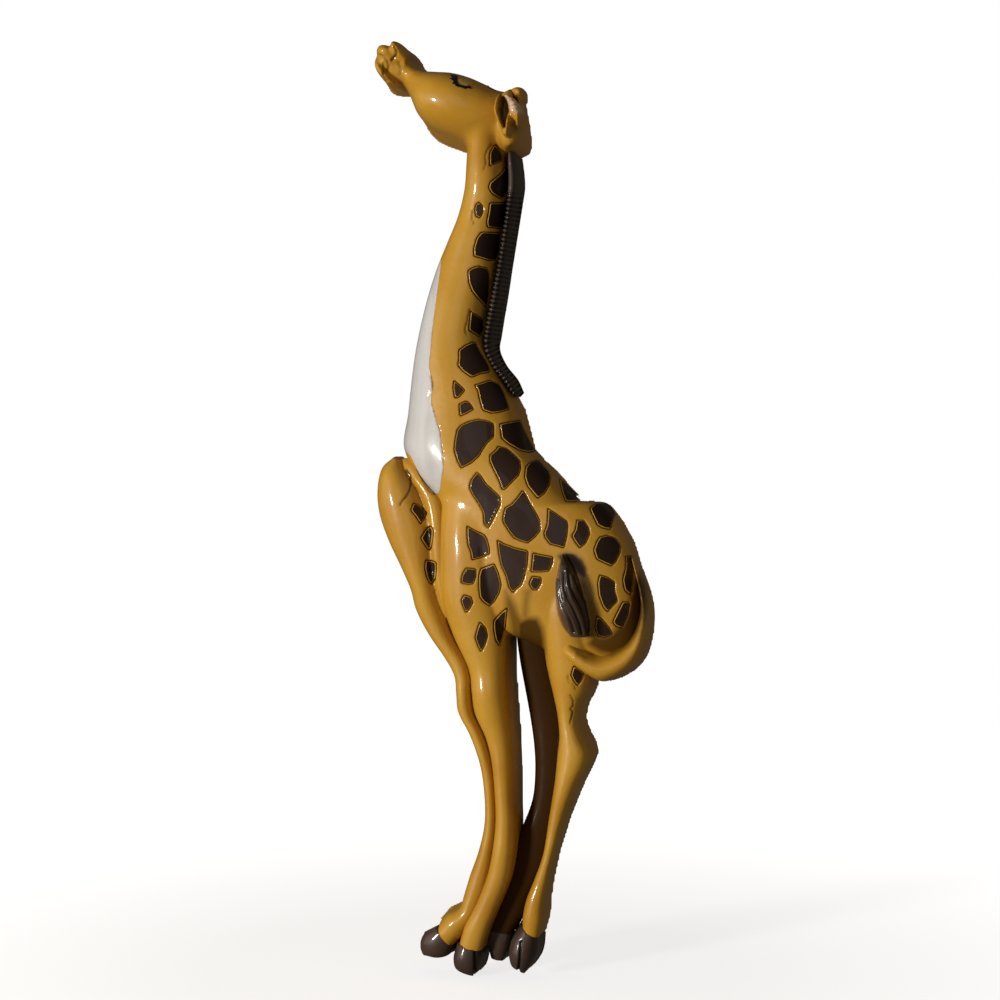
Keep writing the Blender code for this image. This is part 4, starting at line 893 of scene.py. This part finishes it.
class Sheet:
    """A skin being cut: a bmesh whose corners carry fields."""

    def __init__(self, mesh, fields):
        self.bm = bmesh.new()
        self.bm.from_mesh(mesh)
        self.layers = {name: self.bm.verts.layers.float.new(name) for name in fields}
        self.bm.verts.ensure_lookup_table()
        for name, values in fields.items():
            layer = self.layers[name]
            for i in np.flatnonzero(values):
                self.bm.verts[i][layer] = values[i]

    def cut(self, field, levels):
        """Runs edges along each level of a field, among the faces that come near it, in a fixed order."""
        layer = self.layers[field]
        faces = [f for f in self.bm.faces if min(abs(v[layer]) for v in f.verts) < BAND_MM]
        for level in levels:
            for edge in dict.fromkeys(edge for face in faces for edge in face.edges):
                self.cut_edge(edge, layer, level)
            faces += self.split_faces(faces, layer, level)

    def cut_edge(self, edge, layer, level):
        """Puts a corner where an edge crosses a level, or moves an end that is close to it."""
        start, end = edge.verts
        from_start, from_end = start[layer] - level, end[layer] - level
        if from_start * from_end >= 0:
            return
        share = from_start / (from_start - from_end)
        if share < SNAP_SHARE:
            start[layer] = level
        elif share > 1 - SNAP_SHARE:
            end[layer] = level
        else:
            others = self.layers.values()
            values = [start[other] + (end[other] - start[other]) * share for other in others]
            _, middle = bmesh.utils.edge_split(edge, start, share)
            for other, value in zip(others, values):
                middle[other] = value
            middle[layer] = level

    def split_faces(self, faces, layer, level):
        """Splits faces between their two corners on a level; returns the new faces."""
        new_faces = []
        for face in faces:
            on_level = [i for i, v in enumerate(face.verts) if v[layer] == level]
            count = len(face.verts)
            if len(on_level) == 2 and (on_level[1] - on_level[0]) % count not in (1, count - 1):
                corners = face.verts[:]
                new, _ = bmesh.utils.face_split(face, corners[on_level[0]], corners[on_level[1]])
                new_faces.append(new)
        return new_faces

    def arrays(self):
        """Places, normals, fields and faces; the bmesh is used up."""
        bmesh.ops.triangulate(self.bm, faces=[f for f in self.bm.faces if len(f.verts) > 4])
        self.bm.normal_update()
        self.bm.verts.index_update()
        places = np.array([v.co for v in self.bm.verts])
        normals = np.array([v.normal for v in self.bm.verts])
        fields = {name: np.array([v[layer] for v in self.bm.verts]) for name, layer in self.layers.items()}
        faces = [tuple(v.index for v in f.verts) for f in self.bm.faces]
        self.bm.free()
        return places, normals, fields, faces


def along(profile, values):
    """Heights in metres of a profile of straight stretches, at values in millimetres."""
    marks, heights = zip(*profile)
    return np.interp(values, marks, heights)[:, None] * MM


def make_piece(name, places, faces, slot, nodes, marks):
    """Adds one piece of the figure; marks are named numbers at each corner, for its material."""
    mesh = bpy.data.meshes.new(name)
    mesh.from_pydata(np.clip(places, CAD_BOX[0], CAD_BOX[1]).tolist(), [], faces)
    mesh.shade_smooth()
    for mark, values in marks.items():
        mesh.attributes.new(mark, "FLOAT", "POINT").data.foreach_set("value", values)
    mesh.materials.append(MATERIALS[slot])
    obj = place_object(name, mesh)
    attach(obj, "root")
    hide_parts(*nodes)


def plate(node, sheet, field, chosen, profile, back_mm, slot):
    """Closed plate for a CAD node over the chosen faces of a cut sheet. Its front follows profile."""
    places, normals, fields, faces = sheet
    used = np.unique([corner for i in chosen for corner in faces[i]])
    number = {corner: i for i, corner in enumerate(used)}
    depth = fields[field][used]
    front = places[used] + normals[used] * along(profile, depth)
    back = places[used] - normals[used] * back_mm * MM
    count = len(used)
    skin = []
    sides = {}
    for i in chosen:
        corners = [number[corner] for corner in faces[i]]
        skin.append(tuple(corners))
        skin.append(tuple(corner + count for corner in corners[::-1]))
        for start, end in zip(corners, corners[1:] + corners[:1]):
            if (end, start) in sides:
                del sides[(end, start)]
            else:
                sides[(start, end)] = True
    for start, end in sides:
        skin.append((end, start, start + count, end + count))
    marks = {"inside": np.concatenate((-depth, -depth))}
    make_piece(f"{node}_enamel", np.concatenate((front, back)), skin, slot, [node], marks)


def inner_faces(sheet, field):
    """Faces that lie inside an outline, each with its deepest corner."""
    values = sheet[2][field]
    found = {}
    for i, face in enumerate(sheet[3]):
        depths = [values[corner] for corner in face]
        if max(depths) <= INSIDE_MM and min(depths) < 0:
            found[i] = face[depths.index(min(depths))]
    return found


def nearest_node(outline, nodes):
    """The CAD node whose middle is seen nearest to an outline's middle."""
    middles = pixels_of(np.array([sum(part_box(name), Vector()) / 2 for name in nodes]))
    gaps = np.linalg.norm(middles - np.mean(outline, axis=0), axis=1)
    return nodes[int(np.argmin(gaps))]


def dark_paint(pixels):
    """Share of dark paint in the ear's inside, and of painted shade where the skin lies in shadow."""
    shares = [areas(pixels, [EAR_INSIDE_PX], EAR_INSIDE_EDGE_MM) * EAR_DARK_SHARE]
    shares += [areas(pixels, [area], SHADE_EDGE_MM) * share for area, share in SHADES_PX]
    return np.max(shares, axis=0)


def lowered(places, line):
    """Places seen above a line, brought down to it."""
    (start_across, start_down), (end_across, end_down) = line
    pixels = pixels_of(places)
    level = np.interp(pixels[:, 0], (start_across, end_across), (start_down, end_down))
    lower = places.copy()
    lower[:, 2] -= np.maximum(level - pixels[:, 1], 0) * PX_MM * MM
    return lower


def skin_fields(mesh, front, outlines, lines):
    """What the corners of a spotted skin carry, by name, before it is cut."""
    places, normals = corners_of(mesh), corners_of(mesh, "normal")
    pixels = pixels_of(places)
    shown = front & seen(mesh, places, normals)
    field, owner = outlines_field(pixels, shown, outlines)
    line, fold = lines_drop(pixels, shown, lines), lines_drop(pixels, shown, FOLDS_PX)
    return {
        "spot": field,
        "owner": owner,
        "drop": np.maximum(line, fold),
        # Painted shade in hollow creases and in shadowed places, with the ear's dark inside
        "painted_shade": crease_shade(mesh),
        "dark": dark_paint(pixels) * shown,
        "wash": np.clip(np.maximum(line, fold * FOLD_WASH) * WASH_PER_MM, 0, 1),
        "bib": bib_field(places, normals, pixels, front, shown),
        "lash": outlines_field(pixels, shown, NEAR_LASHES_PX)[0],
        "lid": areas(pixels, [LID_PX], LID_EDGE_MM) * shown,
        "patch": areas(pixels, [ABOVE_TUFT_PX], PATCH_EDGE_MM) * shown,
    }


def spotted_skin(name, nodes, limbs, extra, spot_nodes, outlines, lines):
    """A mustard skin with its spots as plates in seats of their own. Returns the cut sheet."""
    mesh, front = drawn_skin(nodes + spot_nodes, limbs, extra, BODY_GRAIN)
    cut = Sheet(mesh, skin_fields(mesh, front, outlines, lines))
    bpy.data.meshes.remove(mesh)
    cut.cut("spot", SPOT_LEVELS_MM)
    cut.cut("bib", BIB_LEVELS_MM)
    cut.cut("lash", LASH_LEVELS_MM)
    places, normals, fields, faces = cut.arrays()
    places = places - normals * fields["drop"][:, None] * MM
    heights = np.minimum(along(SKIN_PROFILE_MM, fields["spot"]), along(BIB_SKIN_PROFILE_MM, fields["bib"]))
    wash = np.clip(OUTLINE_WASH - np.abs(fields["spot"]) / WASH_WIDTH_MM, 0, 1)
    marks = {
        "wash": np.maximum(wash, fields["wash"]),
        # Painted shade: in hollow creases and in shadowed places
        "painted_shade": np.maximum(fields["painted_shade"], fields["dark"]),
        "lid": fields["lid"],
        "patch": fields["patch"],
    }
    make_piece(name, places + normals * heights, faces, "mustard_enamel", nodes[:1], marks)
    sheet = (places, normals, fields, faces)
    spot_plates(sheet, outlines, spot_nodes)
    return sheet


def spot_plates(sheet, outlines, spot_nodes):
    """One plate for each spot, from the faces inside its outline."""
    owner = sheet[2]["owner"]
    groups = {}
    for face, corner in inner_faces(sheet, "spot").items():
        groups.setdefault(int(round(owner[corner])), []).append(face)
    for number, outline in enumerate(outlines):
        spot = nearest_node(outline, spot_nodes)
        plate(spot, sheet, "spot", groups[number], SPOT_PROFILE_MM, PLATE_BACK_MM, "spot_brown")


def bib_field(places, normals, pixels, front, shown):
    """Millimetres outside the bib, which runs round the left side wall to the back."""
    field, _ = outlines_field(pixels, shown, [BIB_PX])
    top, bottom = (from_photo((0, y), 0).z for y in BIB_SIDE_PX)
    hidden = front & ~shown & (normals[:, 0] < 0)
    level = np.maximum(places[:, 2] - top, bottom - places[:, 2]) / MM
    near = hidden & (level < BAND_MM) & (pixels[:, 0] < BIB_SIDE_LIMIT_PX)
    field[near] = level[near]
    return field


def plain_skin(name, nodes, limbs, slot, grain, extra=(), lines=(), relief=None, shade=0, top=None):
    """One limb's skin in one colour: engraved lines, a relief, a share of painted shade and a top line."""
    mesh, front = drawn_skin(nodes, limbs, extra, grain)
    if top:
        move_to(mesh, lowered(corners_of(mesh), top))
    places, normals = corners_of(mesh), corners_of(mesh, "normal")
    pixels = pixels_of(places)
    drop = lines_drop(pixels, front, lines)
    if relief:
        drop = drop + relief(places, normals, pixels)
    marks = {
        "wash": np.clip(drop * WASH_PER_MM, 0, 1),
        # Painted shade in hollow creases and shadowed places, at least the given share
        "painted_shade": np.maximum(crease_shade(mesh), dark_paint(pixels)).clip(shade),
        # Painted highlight on the ear's back
        "ear_highlight": areas(pixels, [EAR_HIGHLIGHT_PX], EAR_HIGHLIGHT_EDGE_MM) * front,
        "patch": areas(pixels, [TUFT_FLAT_PX], PATCH_EDGE_MM) * front,
    }
    faces = [tuple(face.vertices) for face in mesh.polygons]
    bpy.data.meshes.remove(mesh)
    make_piece(name, places - normals * drop[:, None] * MM, faces, slot, nodes, marks)


def body():
    """Body with its spots, the bib and the near lashes."""
    spots = sorted(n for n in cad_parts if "_spot_" in n and not n.startswith("far_foreleg"))
    sheet = spotted_skin("body_skin", ["body_shell", "chest_bib"], BODY_LIMBS, (), spots, SPOTS_PX, LINES_PX)
    bib_faces = list(inner_faces(sheet, "bib"))
    plate("chest_bib", sheet, "bib", bib_faces, BIB_PROFILE_MM, PLATE_BACK_MM, "bib_white")
    lash_faces = list(inner_faces(sheet, "lash"))
    plate("near_lashes", sheet, "lash", lash_faces, LASH_PROFILE_MM, LASH_BACK_MM, "lash_black")


def far_legs():
    """The far foreleg with its spots, and the far hind leg, painted dark as the shadow that it lies in."""
    spots = sorted(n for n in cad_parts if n.startswith("far_foreleg_spot"))
    spotted_skin("far_foreleg_skin", ["far_foreleg"], ("far_foreleg",), ("leg_fold",), spots,
                 FORELEG_SPOTS_PX, FORELEG_LINES_PX)
    plain_skin("far_hindleg_skin", ["far_hindleg"], ("far_hindleg",), "mustard_enamel", LIMB_GRAIN,
               shade=FAR_HIND_SHADE)


def small_pieces():
    """Tail, ears, mane, tuft, far lashes and hooves."""
    plain_skin("tail_skin", ["tail"], ("tail",), "mustard_enamel", LIMB_GRAIN, extra=("tail_end",))
    plain_skin("near_ear_skin", ["near_ear"], EAR_LIMBS, "mustard_enamel", FINE_GRAIN)
    plain_skin("far_ear_skin", ["far_ear"], ("horn",), "mustard_enamel", FINE_GRAIN)
    plain_skin("mane_skin", ["mane"], ("mane",), "mane_brown", FINE_GRAIN, relief=mane_ticks)
    plain_skin("tuft_skin", ["tail_tuft"], ("tuft",), "tuft_brown", FINE_GRAIN, relief=tuft_strands)
    plain_skin("far_lashes_enamel", ["far_lashes"], ("head",), "lash_black", LASH_GRAIN)
    for hoof in ("near_fore_hoof", "far_fore_hoof", "near_hind_hoof", "far_hind_hoof"):
        plain_skin(f"{hoof}_skin", [hoof], (hoof,), "hoof_brown", FINE_GRAIN, lines=HOOF_LINES_PX,
                   top=HOOF_TOP_PX if hoof == "far_fore_hoof" else None)


def shader_tree(name):
    """A new material, its node tree and its main shader."""
    material = bpy.data.materials.new(name)
    material.use_nodes = True
    tree = material.node_tree
    return material, tree, tree.nodes["Principled BSDF"]


def join(tree, socket, value):
    """Links a socket to another, or sets it to a value or an opaque colour."""
    if isinstance(value, bpy.types.NodeSocket):
        tree.links.new(value, socket)
    else:
        socket.default_value = (*value, 1) if socket.type == "RGBA" else value


def add_node(tree, kind, **inputs):
    """Adds a node; inputs are its sockets' names, with spaces as underscores."""
    made = tree.nodes.new(kind)
    for name, value in inputs.items():
        join(tree, made.inputs[name.replace("_", " ")], value)
    return made


def mixed(tree, share, first, second):
    """Colour between two colours, each a tuple or a socket."""
    mix = tree.nodes.new("ShaderNodeMix")
    mix.data_type = "RGBA"
    sockets = {socket.name: socket for socket in mix.inputs if socket.enabled}
    join(tree, sockets["Factor"], share)
    join(tree, sockets["A"], first)
    join(tree, sockets["B"], second)
    return next(socket for socket in mix.outputs if socket.enabled)


def spread(tree, value, low, high, new_low=0, new_high=1):
    """Value from low to high, spread between two new limits and kept within them."""
    made = add_node(tree, "ShaderNodeMapRange", Value=value, From_Min=low, From_Max=high, To_Min=new_low,
                    To_Max=new_high)
    return made.outputs[0]


def noise(tree, scale, detail, low, high, stretch=EVENLY):
    """Share from 0 to 1 that wanders over the surface."""
    coordinates = add_node(tree, "ShaderNodeTexCoord")
    mapping = add_node(tree, "ShaderNodeMapping", Vector=coordinates.outputs["Object"], Scale=stretch)
    texture = add_node(tree, "ShaderNodeTexNoise", Vector=mapping.outputs[0], Scale=scale, Detail=detail)
    return spread(tree, texture.outputs[0], low, high)


def mark_share(tree, mark, low=0, high=1):
    """Share from 0 to 1 as a mark of the mesh goes from low to high."""
    attribute = tree.nodes.new("ShaderNodeAttribute")
    attribute.attribute_name = mark
    return spread(tree, attribute.outputs["Fac"], low, high)


def enamel(name, colour, deep, wash, roughness, coat, stretch):
    """Glossy enamel: colour that wanders to a deeper one, dark wash in lines, and painted shade in creases
    and shadowed places.
    """
    material, tree, shader = shader_tree(name)
    shade = mixed(tree, noise(tree, *COLOUR_NOISE, stretch), colour, deep)
    # Flat brown patches, the lid's lighter mustard, and painted shade in the wash colour
    for mark, paint in (("patch", FLAT_BROWN), ("lid", LID_MUSTARD), ("painted_shade", wash)):
        shade = mixed(tree, mark_share(tree, mark), shade, paint)
    # Painted highlight on the ear's back
    shade = mixed(tree, ear_highlight_share(tree), shade, HIGHLIGHT_PINK)
    shade = mixed(tree, mark_share(tree, "wash"), shade, wash)
    join(tree, shader.inputs["Base Color"], shade)
    # Coat and shine drop where painted shade lies
    shade_share = mark_share(tree, "painted_shade")
    finish_gloss(tree, shader, roughness, spread(tree, shade_share, 0, 1, coat, SHADED_COAT),
                 spread(tree, shade_share, 0, 1, SHINE, SHADED_SHINE))
    return material


def ear_highlight_share(tree):
    """Share of the painted highlight on the ear's back, broken up by fine noise."""
    product = tree.nodes.new("ShaderNodeMath")
    product.operation = "MULTIPLY"
    join(tree, product.inputs[0], mark_share(tree, "ear_highlight"))
    join(tree, product.inputs[1], noise(tree, *HIGHLIGHT_NOISE))
    return product.outputs[0]


def finish_gloss(tree, shader, roughness, coat, shine):
    """Uneven roughness, brush marks and a thin clear coat."""
    uneven = spread(tree, noise(tree, *GLOSS_NOISE), 0, 1, roughness - SMOOTHER, roughness + ROUGHER)
    join(tree, shader.inputs["Roughness"], uneven)
    bump = add_node(tree, "ShaderNodeBump", Strength=BRUSH_STRENGTH, Distance=BRUSH_DEPTH,
                    Height=noise(tree, *BRUSH_NOISE))
    join(tree, shader.inputs["Normal"], bump.outputs[0])
    join(tree, shader.inputs["Specular IOR Level"], shine)
    join(tree, shader.inputs["Coat Weight"], coat)
    join(tree, shader.inputs["Coat Roughness"], COAT_ROUGHNESS)


def spot_enamel(name):
    """Brown enamel on a plateau whose slopes keep the mustard ground, with wash at their foot."""
    material, tree, shader = shader_tree(name)
    shade = mixed(tree, noise(tree, *SPOT_NOISE), SPOT_BROWN, DEEP_SPOT)
    shade = mixed(tree, mark_share(tree, "inside", *SPOT_SLOPE_MM), MUSTARD, shade)
    shade = mixed(tree, mark_share(tree, "inside", *SPOT_FOOT_MM), WASH_AND_SHADE_BROWN, shade)
    join(tree, shader.inputs["Base Color"], shade)
    finish_gloss(tree, shader, SPOT_ROUGHNESS, DARK_COAT, SPOT_SHINE)
    return material


def materials():
    """All the materials by slot."""
    made = {slot: enamel(slot, *look) for slot, look in ENAMELS.items()}
    made["spot_brown"] = spot_enamel("spot_brown")
    return made


def floor_material():
    """Pale floor that glows more away from the figure."""
    material, tree, shader = shader_tree("floor")
    join(tree, shader.inputs["Base Color"], FLOOR_PALE)
    join(tree, shader.inputs["Roughness"], FLOOR_ROUGHNESS)
    join(tree, shader.inputs["Emission Color"], (1, 1, 1))
    coordinates = add_node(tree, "ShaderNodeTexCoord")
    level = add_node(tree, "ShaderNodeMapping", Vector=coordinates.outputs["Object"], Scale=(1, 1, 0))
    away = tree.nodes.new("ShaderNodeVectorMath")
    away.operation = "LENGTH"
    join(tree, away.inputs[0], level.outputs[0])
    glow = spread(tree, away.outputs["Value"], *FLOOR_FADE, FLOOR_GLOW, 1)
    join(tree, shader.inputs["Emission Strength"], glow)
    return material


def stage():
    """Round floor under the lowest hoof."""
    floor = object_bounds()[0].z
    bm = bmesh.new()
    bmesh.ops.create_circle(bm, cap_ends=True, segments=FLOOR_SIDES, radius=FLOOR_RADIUS)
    bmesh.ops.translate(bm, verts=bm.verts, vec=(0, 0, floor))
    mesh = bpy.data.meshes.new("floor")
    bm.to_mesh(mesh)
    bm.free()
    mesh.materials.append(floor_material())
    obj = place_object("floor", mesh)
    obj.visible_diffuse = False
    obj.visible_glossy = False
    obj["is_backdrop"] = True


def soft_light(name, place, size, power, colour):
    """Round lamp aimed at the middle of the figure."""
    light = bpy.data.lights.new(name, "AREA")
    light.shape = "DISK"
    light.size = size
    light.energy = power
    light.color = colour
    obj = place_object(name, light)
    obj.location = place
    obj.rotation_euler = (-Vector(place)).to_track_quat("-Z", "Y").to_euler()


def lights():
    """Key and side light from the left, and a weak fill."""
    for name, lamp in LAMPS.items():
        soft_light(name, *lamp)


def backdrop():
    """World that is white to the camera alone, dim and warm to the figure, and dimmer in mirrored light."""
    world = bpy.data.worlds.new("studio")
    world.use_nodes = True
    tree = world.node_tree
    dim = tree.nodes["Background"]
    join(tree, dim.inputs["Color"], AMBIENT_COLOUR)
    path = tree.nodes.new("ShaderNodeLightPath")
    strength = spread(tree, path.outputs["Is Glossy Ray"], 0, 1, AMBIENT, MIRRORED_AMBIENT)
    join(tree, dim.inputs["Strength"], strength)
    pale = add_node(tree, "ShaderNodeBackground", Color=(1, 1, 1), Strength=1)
    mix = tree.nodes.new("ShaderNodeMixShader")
    join(tree, mix.inputs[0], path.outputs["Is Camera Ray"])
    join(tree, mix.inputs[1], dim.outputs[0])
    join(tree, mix.inputs[2], pale.outputs[0])
    join(tree, tree.nodes["World Output"].inputs["Surface"], mix.outputs[0])
    bpy.context.scene.world = world


def camera():
    """The photograph's view."""
    data = bpy.data.cameras.new("photo_view")
    data.sensor_width = SENSOR_WIDTH_MM
    data.lens = SENSOR_WIDTH_MM * VIEW_DISTANCE / (PICTURE_PX * SCALE)
    obj = place_object("photo_view", data)
    obj.location = EYE
    obj.rotation_euler = (math.pi / 2, 0, VIEW_TURN)
    bpy.context.scene.camera = obj


MATERIALS = materials()
body()
far_legs()
small_pieces()
stage()
lights()
backdrop()
camera()
bpy.context.scene.view_settings.view_transform = "Standard"
